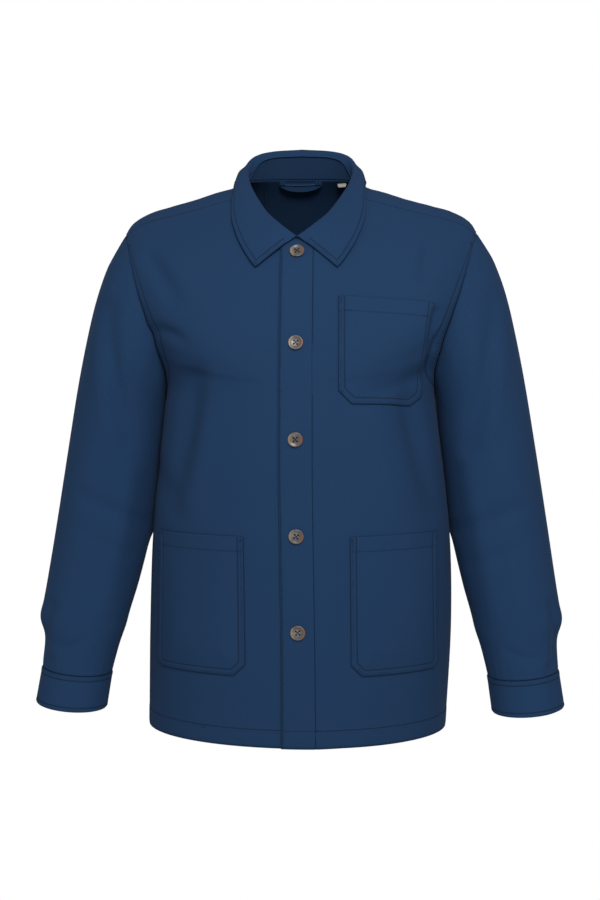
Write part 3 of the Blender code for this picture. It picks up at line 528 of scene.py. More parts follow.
def hem_height(points):
    """Dent of the hem's stitching, a fixed distance above the lower edge, and the doubled cloth
    below it."""
    to_hem = run_along(points[::-1])[::-1]
    doubled = 0.00035 * (1 - ease((to_hem - HEM_TURN_UP) / 0.0012))
    rim = -0.0005 * (1 - ease(to_hem / 0.0016))
    return doubled + rim, to_hem


def hem_line(points, normals, to_hem):
    """The stitched line above the hem, read off the grid's columns."""
    line, facing = [], []
    for column in range(points.shape[1]):
        away = to_hem[:, column][::-1]
        for store, values in ((line, points), (facing, normals)):
            store.append([np.interp(HEM_TURN_UP, away, values[::-1, column, k])
                          for k in range(3)])
    return np.array(line), unit(np.array(facing))


def front_lift(across):
    """The left front stands out at its placket seam, over the under-lap, and then lies flat."""
    return (DOUBLE_CLOTH + SEAM_GAP) * (1 - ease((across - PLACKET_HALF_WIDTH) / 0.045))


def front(angle, level, side):
    """Points and normals of a front's outer surface."""
    points, normals = body(MIRROR[side] * angle, level, side)
    if side == "left":
        points = points + normals * front_lift(points[..., 0])[..., None]
    return points, normals


def front_grid(side, columns=46):
    """Points and normals of a front, from its centre edge to its outer edge."""
    levels, edges = panel_rows(toward_back=False)
    start = PLACKET_HALF_WIDTH + SEAM_GAP / 4 if side == "left" else -UNDERLAP
    own = np.full_like(levels, start)
    angles = spread(angle_at(own, levels, side), edges, levels, columns, side, hole_last=True)
    return front(angles, levels[:, None], side)


ARMHOLE_SPAN = slice(NECK_ROWS, NECK_ROWS + ARMHOLE_ROWS + 1)


def sewn_panel(points, normals, armhole_column):
    """A panel's edges: a plain roll along its seams, a topstitched welt round the armhole, and
    the turned-up hem. Collects its stitched lines into a seam map, which places the painted shade of
    its seams and stitching."""
    away, run = from_edges(points)
    rows = np.arange(points.shape[0])[:, None]
    from_outer = np.linalg.norm(points - points[:, armhole_column][:, None], axis=-1)
    from_outer *= STITCH_LINE / ARMHOLE_WELT
    in_hole = by_armhole(rows)
    welt = turned_edge(from_outer, run) * in_hole
    roll = -0.00040 * (1 - ease(away / 0.0014))
    hem, to_hem = hem_height(points)
    moved = points + normals * (welt + roll * (1 - in_hole) + hem)[..., None]
    stitched = np.where(in_hole > 0.5, from_outer, np.where(away < 0.0030, away, 1.0))
    over_hem = np.abs(to_hem - HEM_TURN_UP) < 0.0045
    stitched = np.where(over_hem, STITCH_LINE + to_hem - HEM_TURN_UP, stitched)
    return moved, (stitched, run), to_hem


topstitch = len(EDGE_LINES) - 3     # the edge line that the armhole's stitches follow
for side in ("right", "left"):
    points, normals = front_grid(side)
    points, edge, to_hem = sewn_panel(points, normals, -1)
    made = shell("twill_front_" + side, eased_in(points, side == "left", True), normals, CLOTH,
                 body_cotton, edge, reverse=reverse_cotton_painted_shade)
    sew_on(made, "front_" + side)
    stitches.append(hem_line(points, normals, to_hem))
    stitches.append((points[ARMHOLE_SPAN, -1 - topstitch][3:-3],
                     normals[ARMHOLE_SPAN, -1 - topstitch][3:-3]))


# --- The back, in three panels ------------------------------------------------------------------
# Two long seams divide the back. They start under the collar and run straight to the hem. The
# side panels carry the back of the armholes.

BACK_SEAM_AT_NECK = 0.055
BACK_SEAM_AT_HEM = 0.078
BACK_STITCHED = 8        # the edge line that the stitches of these seams follow


def back_seam_angle(levels, side):
    across = BACK_SEAM_AT_NECK + (BACK_SEAM_AT_HEM - BACK_SEAM_AT_NECK) * levels / HEM_LEVEL
    return 180 - angle_at(across, levels, side)


levels, edges = panel_rows(toward_back=True)
for side in ("right", "left"):
    mirror = MIRROR[side]
    angles = spread(edges, back_seam_angle(levels, side), levels, 30, side, hole_first=True)
    points, normals = body(mirror * angles, levels[:, None], side)
    points, edge, to_hem = sewn_panel(points, normals, 0)
    made = shell("twill_back_" + side, eased_in(points, True, True), normals, CLOTH, body_cotton,
                 edge, reverse=reverse_cotton_painted_shade)
    sew_on(made, "back_" + side)
    stitches.append(hem_line(points, normals, to_hem))
    stitches.append((points[ARMHOLE_SPAN, topstitch][3:-3], normals[ARMHOLE_SPAN, topstitch][3:-3]))

left, right = back_seam_angle(levels, "left"), 360 - back_seam_angle(levels, "right")
angles = spread(left, right, levels, 24, "left")
angles = np.where(angles > 180, angles - 360, angles)
on_left, normals = body(angles, levels[:, None], "left")
on_right, _ = body(angles, levels[:, None], "right")
points = np.where((angles > 0)[..., None], on_left, on_right)
away, run = from_edges(points)
hem, to_hem = hem_height(points)
points = points + normals * (turned_edge(away, run, 0.0003) + hem)[..., None]
made = shell("twill_back_centre", eased_in(points, True, True), normals, CLOTH, body_cotton,
             (away, run), reverse=reverse_cotton_painted_shade)
sew_on(made, "back_centre")
stitches.append(hem_line(points, normals, to_hem))
for column in (BACK_STITCHED, -1 - BACK_STITCHED):
    stitches.append((points[4:, column], normals[4:, column]))


# --- The placket --------------------------------------------------------------------------------
# A doubled band of the same twill down the centre front. Its right-hand seam joins the left
# front, and its free edge, on the wearer's right, is edge-stitched and a little rippled.

PLACKET_TOP = 0.08
PLACKET_RISE = 0.0050    # how far its upper end runs on, under the meeting of the collar

levels, _ = panel_rows(toward_back=False)
levels = levels.copy()
levels[0] = PLACKET_TOP
own_lines = np.concatenate([-PLACKET_HALF_WIDTH + EDGE_LINES, np.linspace(-0.009, 0.013, 8),
                            PLACKET_HALF_WIDTH - SEAM_GAP - EDGE_LINES[5::-1]])
angles = np.stack([angle_at(np.full_like(levels, x), levels, "left") for x in own_lines], 1)
points, normals = body_plain(angles, levels[:, None]), body_normal(angles, levels[:, None])
away, run = from_edges(points, right=False)
hem, to_hem = hem_height(points)
lift = 1.5 * SEAM_GAP + DOUBLE_CLOTH + turned_edge(away, run, 0.00035, at=0.0022) + hem
points = points + normals * lift[..., None]
points[..., 0] += (np.sin(run * 900) + np.sin(run * 410 + 1)) * 0.00012 * (away < 0.001)
points[0] += unit(points[0] - points[1]) * PLACKET_RISE
PLACKET_STITCH = 0.0020
PLACKET_STITCHED = 3     # the edge line that they follow
placket_cotton = cotton("indigo twill, placket", INDIGO, pucker=1.6, stitched_at=PLACKET_STITCH)
# The seam map places the painted shade of the placket's edge, its stitching and the hem's line.
over_hem = np.abs(to_hem - HEM_TURN_UP) < 0.0018
lined = np.where(over_hem & (away > 0.004), PLACKET_STITCH + np.abs(to_hem - HEM_TURN_UP), away)
placket = shell("twill_placket", points, normals, DOUBLE_CLOTH, placket_cotton, (lined, run))
sew_on(placket, "placket")
stitches.append((points[6:, PLACKET_STITCHED], normals[6:, PLACKET_STITCHED]))
stitches.append(hem_line(points, normals, to_hem))


# --- The sleeves --------------------------------------------------------------------------------
# One-piece sleeves set into the armholes. They hang slightly forward, crease inside the elbow
# and bag a little just above the cuffs.

Section = namedtuple("Section", "station z x y half deep tilt")
SLEEVE = [
    Section(0.0, -0.330, 0.2595, 0.000, 0.0640, 0.0690, 9.0),
    Section(1.0, -0.405, 0.2700, 0.001, 0.0655, 0.0690, 8.0),
    Section(2.0, -0.480, 0.2795, -0.004, 0.0665, 0.0670, 8.0),
    Section(3.0, -0.545, 0.2895, -0.018, 0.0635, 0.0630, 9.0),
    Section(4.0, -0.590, 0.2970, -0.033, 0.0600, 0.0590, 9.0),
    Section(5.0, -0.612, 0.3005, -0.041, 0.0590, 0.0560, 8.0),
    Section(6.0, -0.638, 0.3005, -0.049, 0.0515, 0.0520, 8.0),
    Section(7.0, -0.674, 0.3030, -0.062, 0.0465, 0.0475, 7.0),
]
CUFF_LEAN = (0.092, -0.30, -0.95)   # the direction from the cuff's seam to its mouth
SLEEVE_FOLDS = [
    Fold("right", "front", .214, -.478, .258, -.458, .296, -.438, .0150, .0040),
    Fold("right", "front", .232, -.520, .258, -.508, .290, -.490, .0130, .0026),
    Fold("right", "front", .262, -.180, .256, -.280, .228, -.380, .0170, .0058),
    Fold("right", "front", .262, -.120, .282, -.230, .262, -.350, .0240, -.0030),
    Fold("right", "front", .228, -.380, .238, -.470, .262, -.590, .0170, -.0034),
    Fold("right", "front", .335, -.585, .352, -.630, .335, -.655, .0100, .0036),
    Fold("right", "front", .285, -.630, .305, -.645, .325, -.636, .0090, .0024),
    Fold("left", "front", .220, -.486, .262, -.468, .298, -.452, .0150, .0042),
    Fold("left", "front", .236, -.530, .264, -.520, .300, -.504, .0130, .0026),
    Fold("left", "front", .266, -.170, .260, -.270, .232, -.370, .0170, .0056),
    Fold("left", "front", .264, -.110, .284, -.220, .264, -.340, .0240, -.0030),
    Fold("left", "front", .230, -.390, .242, -.480, .264, -.600, .0170, -.0034),
    Fold("left", "front", .340, -.580, .352, -.640, .332, -.664, .0090, .0042),
    Fold("left", "front", .280, -.640, .300, -.652, .322, -.646, .0080, .0024),
    Fold("right", "back", .225, -.430, .265, -.450, .310, -.440, .0150, .0040),
    Fold("left", "back", .228, -.440, .268, -.455, .308, -.450, .0150, .0040),
    Fold("right", "back", .235, -.200, .240, -.300, .270, -.400, .0220, .0040),
    Fold("left", "back", .238, -.190, .242, -.290, .272, -.390, .0220, .0040),
]
# The back of each sleeve's inner side rests nearly on the body, between these heights.
NESTLE = 0.009
NESTLE_TURN = 212.0
NESTLE_TOP, NESTLE_FOOT = -0.300, -0.520
NESTLE_SPREAD = 18.0     # degrees round the sleeve
CAP_ROWS, ARM_ROWS = 26, 104
CAP_REACH_TOP, CAP_REACH_FOOT = 0.34, 0.36      # how far the cap's curve runs straight on


def sleeve_ring(side, station, turns):
    """Points of a section. turns go from the outer side, 0, round by the front, 90."""
    mirror = MIRROR[side]
    z, x, y, half, deep, tilt = np.moveaxis(through(SLEEVE, np.asarray(station, float)), -1, 0)
    lean = np.radians(tilt)
    centre = np.stack([mirror * x, y, z], -1)
    outward = np.stack([mirror * np.cos(lean), 0 * lean, np.sin(lean)], -1)
    a = np.radians(turns)[..., None]
    return centre + outward * half[..., None] * np.cos(a) - np.array([0, 1, 0]) * (
        deep[..., None] * np.sin(a))


def sleeve_start(side, turns):
    """The direction in which the sleeve leaves the armhole."""
    mirror = MIRROR[side]
    a = np.radians(np.asarray(turns, float))
    return unit(np.stack([mirror * (0.40 + 0.16 * np.cos(a)), -0.28 * np.sin(a),
                          -0.90 + 0.12 * np.cos(a)], -1))


def sleeve_cap(side, turns, share):
    """The cap: curves from the armhole, share 0, to the first full section, share 1."""
    mirror = MIRROR[side]
    level, angle = armhole(turns)
    a, _ = body(mirror * angle, level, side)
    d = sleeve_ring(side, 0.0, turns)
    below = sleeve_ring(side, 0.25, turns)
    reach = np.linalg.norm(d - a, axis=-1, keepdims=True)
    b = a + sleeve_start(side, turns) * reach * CAP_REACH_TOP
    c = d - unit(below - d) * reach * CAP_REACH_FOOT
    t = share
    return (1 - t)**3 * a + 3 * (1 - t)**2 * t * b + 3 * (1 - t) * t**2 * c + t**3 * d


def grid_normals(points, mirror):
    """Outward normals of a grid that closes round its columns."""
    down = np.gradient(points, axis=0)
    round_it = np.roll(points, -1, 1) - np.roll(points, 1, 1)
    return unit(np.cross(round_it, down)) * mirror


sleeve_ends = {}
for side in ("right", "left"):
    mirror = MIRROR[side]
    turns = np.arange(2 * ARMHOLE_ROWS) * 180.0 / ARMHOLE_ROWS
    cap = np.linspace(0, 1, CAP_ROWS + 1)[:-1] ** 1.25
    rows = [sleeve_cap(side, turns, t) for t in cap]
    last = SLEEVE[-1].station
    rows += [sleeve_ring(side, s, turns) for s in np.linspace(0, last, ARM_ROWS + 1)]
    points = np.array(rows)
    normals = grid_normals(points, mirror)
    points = creased(points, normals, SLEEVE_FOLDS, side)
    beside = ease((NESTLE_TOP - points[..., 2]) / 0.03) * ease(
        (points[..., 2] - NESTLE_FOOT) / 0.04)
    nestled = NESTLE * np.exp(-((turns - NESTLE_TURN) / NESTLE_SPREAD) ** 2) * beside
    points[..., 0] -= mirror * nestled
    down = run_along(points)
    to_cuff = down[-1:] - down
    gathers = np.sin(np.radians(turns) * 23 + 0.6 * np.sin(np.radians(turns) * 5))
    height = (-0.0006 * (1 - ease(down / 0.0060))
              + 0.00045 * gathers * np.exp(-to_cuff / 0.011) * ease(to_cuff / 0.003))
    points = points + normals * height[..., None]
    girth = np.cumsum(np.linalg.norm(np.diff(points[40], axis=0, append=points[40][:1]), axis=-1))
    seam_edge = (down, np.broadcast_to(girth, down.shape))
    sleeve_cotton = cotton("indigo twill, sleeve " + side, INDIGO, pucker=1.5, stitched_at=-0.02)
    made = shell("twill_sleeve_" + side, points, normals, CLOTH, sleeve_cotton, seam_edge, True)
    sew_on(made, "sleeve_" + side)
    sleeve_ends[side] = (points[-1], normals[-1], unit(points[-1] - points[-2]).mean(0), turns)


# --- The cuffs ----------------------------------------------------------------------------------
# Plain closed bands, doubled and 46 mm deep. One line of stitching runs below the top seam and
# one just above the lower edge.

CUFF_CLOTH = 0.0026
CUFF_LENGTH = 0.0465
CUFF_PROUD = 0.0011
CUFF_RADIUS = 0.046
CUFF_STITCHED = (6, 18)  # the rows that are stitched
CUFF_LINES = np.array([0, .0006, .0014, .0030, .0046, .0056, .0062, .0068, .0078, .0100, .0140,
                       .0190, .0240, .0290, .0330, .0370, .0395, .0405, .0411, .0418, .0432,
                       .0448, .0459, .0465])
cuff_cotton = cotton("indigo twill, cuffs", INDIGO, pucker=1.2)
for side in ("right", "left"):
    mirror = np.array([MIRROR[side], 1.0, 1.0])
    end, facing, down, turns = sleeve_ends[side]
    lean = unit(np.array(CUFF_LEAN)) * mirror
    rows = [end + down * 1.5 * SEAM_GAP + lean * s for s in CUFF_LINES]
    points = np.array(rows)
    normals = np.array([facing] * len(rows))
    below = CUFF_LINES[:, None] * np.ones(len(turns))
    above = CUFF_LENGTH - below
    girth = np.radians(turns)[None, :] * CUFF_RADIUS * np.ones((len(rows), 1))
    height = (CUFF_PROUD + turned_edge(below, girth, 0.0003) + turned_edge(
        above, girth, 0.0002, at=0.0054) - 0.0007 * (1 - ease(above / 0.0022)))
    points = points + normals * height[..., None]
    # The seam map places the painted shade of the cuff's edges and stitched lines.
    made = shell("twill_cuff_" + side, points, normals, CUFF_CLOTH, cuff_cotton,
                 (np.minimum(below, above + 0.0012), girth), True)
    sew_on(made, "cuff_" + side)
    for row in CUFF_STITCHED:
        loop = np.concatenate([points[row], points[row][:1]])
        stitches.append((loop, np.concatenate([normals[row], normals[row][:1]])))


# --- The collar ---------------------------------------------------------------------------------
# A stand sewn to the neck seam and a fall sewn to the stand's top. The fall rolls over and lies
# on the shoulders; its edges are turned and topstitched 7 mm in.

FALL_CLOTH = 0.0018
Collar = namedtuple("Collar", "share stand turn_x turn_y turn_z roll edge_angle edge_level")
COLLAR = [
    Collar(0.00, 0.0030, 0.0026, -0.0965, -0.0900, 0.0020, 21.5, 2.05),
    Collar(0.12, 0.0060, 0.0235, -0.0855, -0.0715, 0.0036, 30.5, 1.62),
    Collar(0.20, 0.0100, 0.0385, -0.0700, -0.0560, 0.0044, 39.5, 1.28),
    Collar(0.30, 0.0160, 0.0540, -0.0480, -0.0325, 0.0048, 51.0, 0.93),
    Collar(0.42, 0.0240, 0.0675, -0.0195, -0.0045, 0.0050, 64.0, 0.57),
    Collar(0.53, 0.0300, 0.0740, 0.0060, 0.0185, 0.0050, 80.0, 0.34),
    Collar(0.64, 0.0340, 0.0755, 0.0290, 0.0400, 0.0050, 102.0, 0.36),
    Collar(0.74, 0.0360, 0.0690, 0.0490, 0.0575, 0.0050, 125.0, 0.58),
    Collar(0.86, 0.0385, 0.0460, 0.0670, 0.0700, 0.0050, 151.0, 0.85),
    Collar(1.00, 0.0390, 0.0000, 0.0740, 0.0755, 0.0050, 180.0, 0.95),
]
COLLAR_SPLIT = 0.004
MEETING = 0.0022         # the two leading edges are drawn together this much by the top button
EDGE_LIFT = 0.0045
LEADING_EDGE = 0.25      # metres of collar to one whole share, near its leading edge

shares = np.concatenate([EDGE_LINES / LEADING_EDGE, np.linspace(0.05, 1.0, 110)])


def collar_frame(shares):
    """The collar's left half: the neck seam, the stand's ridge, the fold with its directions,
    the inner leaf's top and the outer edge."""
    row = through(COLLAR, shares)
    stand, turn, roll = row[:, 0:1], row[:, 1:4], row[:, 4:5]
    neck = body_plain(180 * (COLLAR_SPLIT * 2 + (1 - COLLAR_SPLIT * 2) * shares), 0.0)
    edge = body_plain(row[:, 5], row[:, 6]) + body_normal(row[:, 5], row[:, 6]) * EDGE_LIFT
    step = 0.02
    ahead = through(COLLAR, np.clip(shares + step, 0, 1))[:, 1:4]
    behind = through(COLLAR, np.clip(shares - step, 0, 1))[:, 1:4]
    along = unit(ahead - behind)
    rising, falling = turn - neck, edge - turn
    rising = unit(rising - along * np.sum(rising * along, -1, keepdims=True))
    falling = unit(falling - along * np.sum(falling * along, -1, keepdims=True))
    top = unit(rising - falling)
    out = unit(np.cross(along, top))
    leaf = turn - (top + out) * roll
    reach = np.linalg.norm(leaf - neck, axis=-1, keepdims=True)
    up = (leaf - neck) / reach
    ridge = neck + up * np.minimum(stand + 0.0030, 0.83 * reach)
    stand_out = unit(np.cross(along, up))
    return neck, ridge, turn, edge, leaf, up, stand_out, top, out, roll


def both_halves(half, tilt=SHOULDER_DROP):
    """Rows of the left half, from front to back, carried on round the right half."""
    mirrored = half[-2::-1] * np.array([-1, 1, 1])
    mirrored[..., 2] += 2 * tilt * half[-2::-1, :, 0]
    return np.concatenate([half, mirrored])


def outward_of(points):
    """Normals of a strip, from its rows and columns."""
    return unit(np.cross(np.gradient(points, axis=0), np.gradient(points, axis=1)))


def clear_of_body(points):
    """Push points out until the cloth behind them is clear of the body and of the placket."""
    angle, level = np.meshgrid(np.arange(-4, 184, 1.5), np.arange(0, 3.2, 0.05))
    skin, facing = body_plain(angle, level).reshape(-1, 3), body_normal(angle, level).reshape(-1, 3)
    moved = points.reshape(-1, 3).copy()
    for _ in range(2):
        gaps = ((moved[:, None, :] - skin[None]) ** 2).sum(-1)
        near = gaps.argmin(1)
        height = np.sum((moved - skin[near]) * facing[near], -1)
        placket_share = ease(1 - (np.abs(moved[:, 0]) - PLACKET_HALF_WIDTH) / 0.045)
        needed = FALL_CLOTH + 2.5 * SEAM_GAP + (DOUBLE_CLOTH + SEAM_GAP) * placket_share
        moved += facing[near] * np.maximum(0.0, needed - height)[:, None]
    return moved.reshape(points.shape)


neck, ridge, turn, edge_line, leaf, up, stand_out, top, out, roll = collar_frame(shares)
lean = 1 - up[:, 2:3]
base = SEAM_GAP * 2 + 0.0019 * (1 - ease(shares / 0.14))[:, None] + 0.0015 * lean
steps = np.linspace(0, 1, 14)[:, None, None]
stand_half = np.moveaxis((neck + up * base) * (1 - steps) + ridge * steps, 0, 1)
stand_normals = both_halves(np.repeat(stand_out[:, None], 14, 1), tilt=0)
stand_points = both_halves(stand_half) + stand_normals * DOUBLE_CLOTH / 2
# The stand is coloured darker than the body: painted shade inside the collar.
stand_cotton_painted_shade = cotton("indigo twill, stand, painted shade", (0.0110, 0.0320, 0.0760), pucker=0.0,
                      stitched_at=-0.02)
stand = shell("twill_collar_stand", stand_points, stand_normals, DOUBLE_CLOTH, stand_cotton_painted_shade)
sew_on(stand, "collar_stand")

roll_path = both_halves((ridge - up * 0.0006 - stand_out * 0.0036)[8:, None])[:, 0]
start = ridge - up * 0.0006 - stand_out * (DOUBLE_CLOTH / 2 + 0.0011)
leaf = leaf - stand_out * DOUBLE_CLOTH / 2
turn_in = turn - out * roll * 0.6 - top * roll * 0.2
turn_out = turn + out * roll * 0.6 - top * roll * 0.2
side_out = turn + (out - top) * roll
proud = unit(out + top * 0.3)
third = side_out + (edge_line - side_out) / 3 + proud * roll * 0.7
two_thirds = side_out + (edge_line - side_out) * 2 / 3 + proud * roll * 0.5
outer = clear_of_body(np.stack([turn_out, side_out, third, two_thirds, edge_line], 1))
knots = np.concatenate([np.stack([start, leaf, turn_in, turn], 1), outer], 1)
profile = []
for row in knots:
    run = run_along(row)
    fine = through(np.column_stack([run, row]), np.linspace(0, run[-1], 60))
    length = run_along(fine)
    near_edge = length[-1] - EDGE_LINES[::-1]
    spots = np.concatenate([np.linspace(0, near_edge[0], 28)[:-1], near_edge])
    profile.append([[np.interp(s, length, fine[:, k]) for k in range(3)] for s in spots])
half = np.array(profile)
half[..., 0] = np.maximum(half[..., 0] - MEETING * np.exp(-shares / 0.04)[:, None], 0.0003)
points = both_halves(half)
normals = -outward_of(points)
normals[:, 0] = -both_halves(stand_out[:, None], tilt=0)[:, 0]
to_edge = np.linalg.norm(points - points[:, -1:], axis=-1)
along_collar = np.concatenate([shares, 2 - shares[-2::-1]])
to_lead = np.minimum(along_collar, 2 - along_collar)[:, None] * LEADING_EDGE
on_fall = ease((np.arange(points.shape[1]) - 8) / 4.0)[None, :]
away = np.minimum(to_edge, np.where(on_fall > 0, to_lead, 1.0))
run = np.where(to_edge < to_lead, along_collar[:, None] * 0.27, 3 + to_edge)
points = points + normals * (turned_edge(away, run, 0.0004) * on_fall)[..., None]
# The seam map places the painted shade of the fall's edges and its stitched line.
fall_cotton = cotton("indigo twill, fall", INDIGO, pucker=1.3)
fall = shell("twill_collar_fall", points, normals, FALL_CLOTH, fall_cotton, (away, run))
sew_on(fall, "collar_fall")
stitch_row, stitch_column = 7, -8
stitches.append((points[stitch_row:-stitch_row, stitch_column],
                 normals[stitch_row:-stitch_row, stitch_column]))
for row in (stitch_row, -stitch_row - 1):
    stitches.append((points[row, 16:stitch_column + 1], normals[row, 16:stitch_column + 1]))


# --- The patch pockets --------------------------------------------------------------------------
# Three patches with their lower corners cut off, one on the chest and two on the hips. Their
# mouths are hemmed 19 mm deep, and a line of stitching holds the sides and bottom.

Pocket = namedtuple("Pocket", "node side inner outer outer_low top bottom slope cut_in cut_out")
POCKETS = [
    Pocket("pocket_chest", "left", 0.0550, 0.1815, 0.1655, -0.1752, -0.3160, -0.05, 0.017, 0.012),
    Pocket("pocket_hip_left", "left", 0.0690, 0.187, 0.189, -0.4865, -0.6670, 0.02, 0.015, 0.0075),
    Pocket("pocket_hip_right", "right", 0.0670, 0.189, 0.191, -0.4865, -0.667, 0.02, 0.015, 0.0075),
]
POCKET_HEM = 0.0188
POCKET_STITCH = 0.0080   # the inner line of stitching; the outer one is just inside the edge
pocket_cotton = cotton("indigo twill, pockets", INDIGO, pucker=1.8, stitched_at=POCKET_STITCH)


def on_front(across, height, side):
    """Angle and level of the front's points at places across and heights, found by halving."""
    low, high = np.zeros(across.shape), np.full(across.shape, HEM_LEVEL)
    mirror = MIRROR[side]
    for _ in range(26):
        middle = (low + high) / 2
        above = body_plain(mirror * angle_at(across, middle, side), middle)[..., 2] > height
        low, high = np.where(above, middle, low), np.where(above, high, middle)
    return angle_at(across, middle, side), middle


def inset(corners, distance):
    """A convex outline moved inwards."""
    moved = []
    count = len(corners)
    for k in range(count):
        before, here, after = corners[k - 1], corners[k], corners[(k + 1) % count]
        a, b = unit(here - before), unit(after - here)
        a_in, b_in = np.array([a[1], -a[0]]), np.array([b[1], -b[0]])
        bisector = a_in + b_in
        moved.append(here + bisector * distance / (1 + a_in @ b_in))
    return np.array(moved)


for pocket in POCKETS:
    drop = pocket.slope * (pocket.outer - pocket.inner)
    corners = np.array([
        (pocket.inner, pocket.top),
        (pocket.outer, pocket.top + drop),
        (pocket.outer_low, pocket.bottom + pocket.cut_out),
        (pocket.outer_low - pocket.cut_out, pocket.bottom),
        (pocket.inner + pocket.cut_in, pocket.bottom),
        (pocket.inner, pocket.bottom + pocket.cut_in),
    ])
    lengths = np.linalg.norm(np.roll(corners, -1, 0) - corners, axis=1)
    counts = np.maximum(3, (lengths / 0.0028).astype(int))
    rings = []
    for distance in np.concatenate([EDGE_LINES, [0.0115]]):
        outline = inset(corners, distance)
        ring = [outline[k] + (outline[(k + 1) % 6] - outline[k]) * s
                for k in range(6) for s in np.arange(counts[k]) / counts[k]]
        rings.append(ring)
    last = np.array(rings[-1])
    centre = last.mean(0)
    for s in np.linspace(0, 0.985, 20)[1:]:
        rings.append(centre + (last - centre) * (1 - s))
    flat = np.array(rings)
    angle, level = on_front(flat[..., 0], flat[..., 1], pocket.side)
    points, normals = front(angle, level, pocket.side)
    ends = np.roll(corners, -1, 0)
    sides = unit(ends - corners)
    inward_of = np.stack([sides[:, 1], -sides[:, 0]], 1)
    to_sides = np.sum((flat[..., None, :] - corners) * inward_of, -1)
    away = to_sides[..., 1:].min(-1)
    steps = np.linalg.norm(np.diff(flat[0], axis=0, append=flat[0][:1]), axis=-1)
    run = np.broadcast_to(np.cumsum(steps), away.shape)
    below_mouth = to_sides[..., 0]
    hemmed = 0.0003 * (1 - ease((below_mouth - POCKET_HEM) / 0.0012))
    dent = -0.0002 * np.exp(-((below_mouth - POCKET_HEM) / 0.0009) ** 2)
    puff = 0.0030 * np.clip(away / 0.03, 0, 1) * ease(below_mouth / 0.16)
    gape = 0.0009 * ease(away / 0.02) * np.exp(-below_mouth / 0.012)
    mouth_roll = -0.0004 * (1 - ease(below_mouth / 0.0012))
    lift = (SEAM_GAP + CLOTH + turned_edge(away, run, 0.00060, 0.0003, POCKET_STITCH) + hemmed
            + dent + puff + gape + mouth_roll)
    # The seam map places the painted shade of the pocket's edges, its stitching and its hem's line.
    at_hem = np.abs(below_mouth - POCKET_HEM) < 0.0028
    lined = np.where(at_hem & (away > 0.001), np.minimum(
        away, POCKET_STITCH + np.abs(below_mouth - POCKET_HEM)), away)
    points = points + normals * (lift + 0.0004)[..., None]
    made = shell("twill_" + pocket.node, points, normals, CLOTH, pocket_cotton, (lined, run),
                 True, cloth_map=flat, capped=True)
    sew_on(made, pocket.node)
    first_side = counts[0]
    line = 8
    open_outline = list(range(first_side, flat.shape[1])) + [0]
    stitches.append((points[line][open_outline], normals[line][open_outline]))
    for start, end, below, store in (
            (pocket.inner + 0.001, pocket.outer - 0.002, POCKET_HEM, stitches),
            (pocket.inner + 0.0008, pocket.inner + 0.0082, 0.0016, tacks),
            (pocket.outer - 0.0082, pocket.outer - 0.0008, 0.0016, tacks)):
        across = np.linspace(start, end, 60)
        heights = pocket.top + pocket.slope * (across - pocket.inner) - below
        angle, level = on_front(across, heights, pocket.side)
        seat, facing = front(angle, level, pocket.side)
        store.append((seat + facing * (SEAM_GAP + CLOTH + 0.0011), facing))


# --- The hanger loop ----------------------------------------------------------------------------
# A folded strip of the same twill under the back of the neck. Its ends are caught in the neck
# seam with two thick tacks, its upper edge is a tight roll, and its middle hangs a little.
# The strip and its tacks are coloured darker as painted shade, and its upper roll lighter as a
# painted highlight.

LOOP_HALF, LOOP_TOP, LOOP_FOOT, LOOP_DROP, LOOP_BOW = 0.0315, 0.0228, 0.0172, 0.0085, 0.0012
LOOP_OFF, LOOP_SHIFT = 0.0009, -0.0016
TACK_HALF, TACK_RADIUS, TACK_PROUD = 0.0040, 0.0021, 0.0028
# Painted shade: the loop, its lower roll and its tacks are coloured darker than the body.
neck_cotton_painted_shade = cotton("indigo twill, neck pieces, painted shade", (0.0120, 0.0350, 0.0840), 0.0, -0.02)


def inside_back(x, z):
    """A point of the back's inner surface at a place across and a height, found by halving."""
    low, high = 0.0, 6.0
    for _ in range(40):
        middle = (low + high) / 2
        above = body_plain(180 - angle_at(abs(x), middle, "left"), middle)[2] > z
        low, high = (middle, high) if above else (low, middle)
    angle = 180 - angle_at(abs(x), middle, "left")
    point = body_plain(angle, middle) - body_normal(angle, middle) * CLOTH
    return point * np.array([np.sign(x) if x else 1.0, 1, 1])


def tube(path, radii, spokes=10):
    """Points and normals of a round strand along a path, one ring for each point."""
    along = unit(np.gradient(path, axis=0))
    side_on = unit(np.cross(along, np.array([0.0, 0.25, 1.0])))
    over = np.cross(side_on, along)
    a = np.linspace(0, 2 * np.pi, spokes, endpoint=False)[:, None]
    around = side_on[:, None] * np.cos(a) + over[:, None] * np.sin(a)
    return path[:, None] + around * np.asarray(radii)[:, None, None], around


def solid_tube(name, path, radii, material, spokes=10):
    """A closed round strand."""
    points, _ = tube(path, radii, spokes)
    rows = len(path)
    r, c = np.meshgrid(np.arange(rows - 1), np.arange(spokes), indexing="ij")
    d = (c + 1) % spokes
    faces = np.stack([r * spokes + c, (r + 1) * spokes + c, (r + 1) * spokes + d, r * spokes + d],
                     -1).reshape(-1, 4).tolist()
    faces += [list(range(spokes)), [(rows - 1) * spokes + k for k in range(spokes)][::-1]]
    data = bpy.data.meshes.new(name)
    data.from_pydata(points.reshape(-1, 3).tolist(), [], [face[::-1] for face in faces])
    data.shade_smooth()
    for label, place in (("cloth", 0.0), ("seam", 1.0)):
        layer = data.uv_layers.new(name=label)
        layer.data.foreach_set("uv", np.full(2 * len(data.loops), place, np.float32))
    data.materials.append(material)
    return linked(name, data)


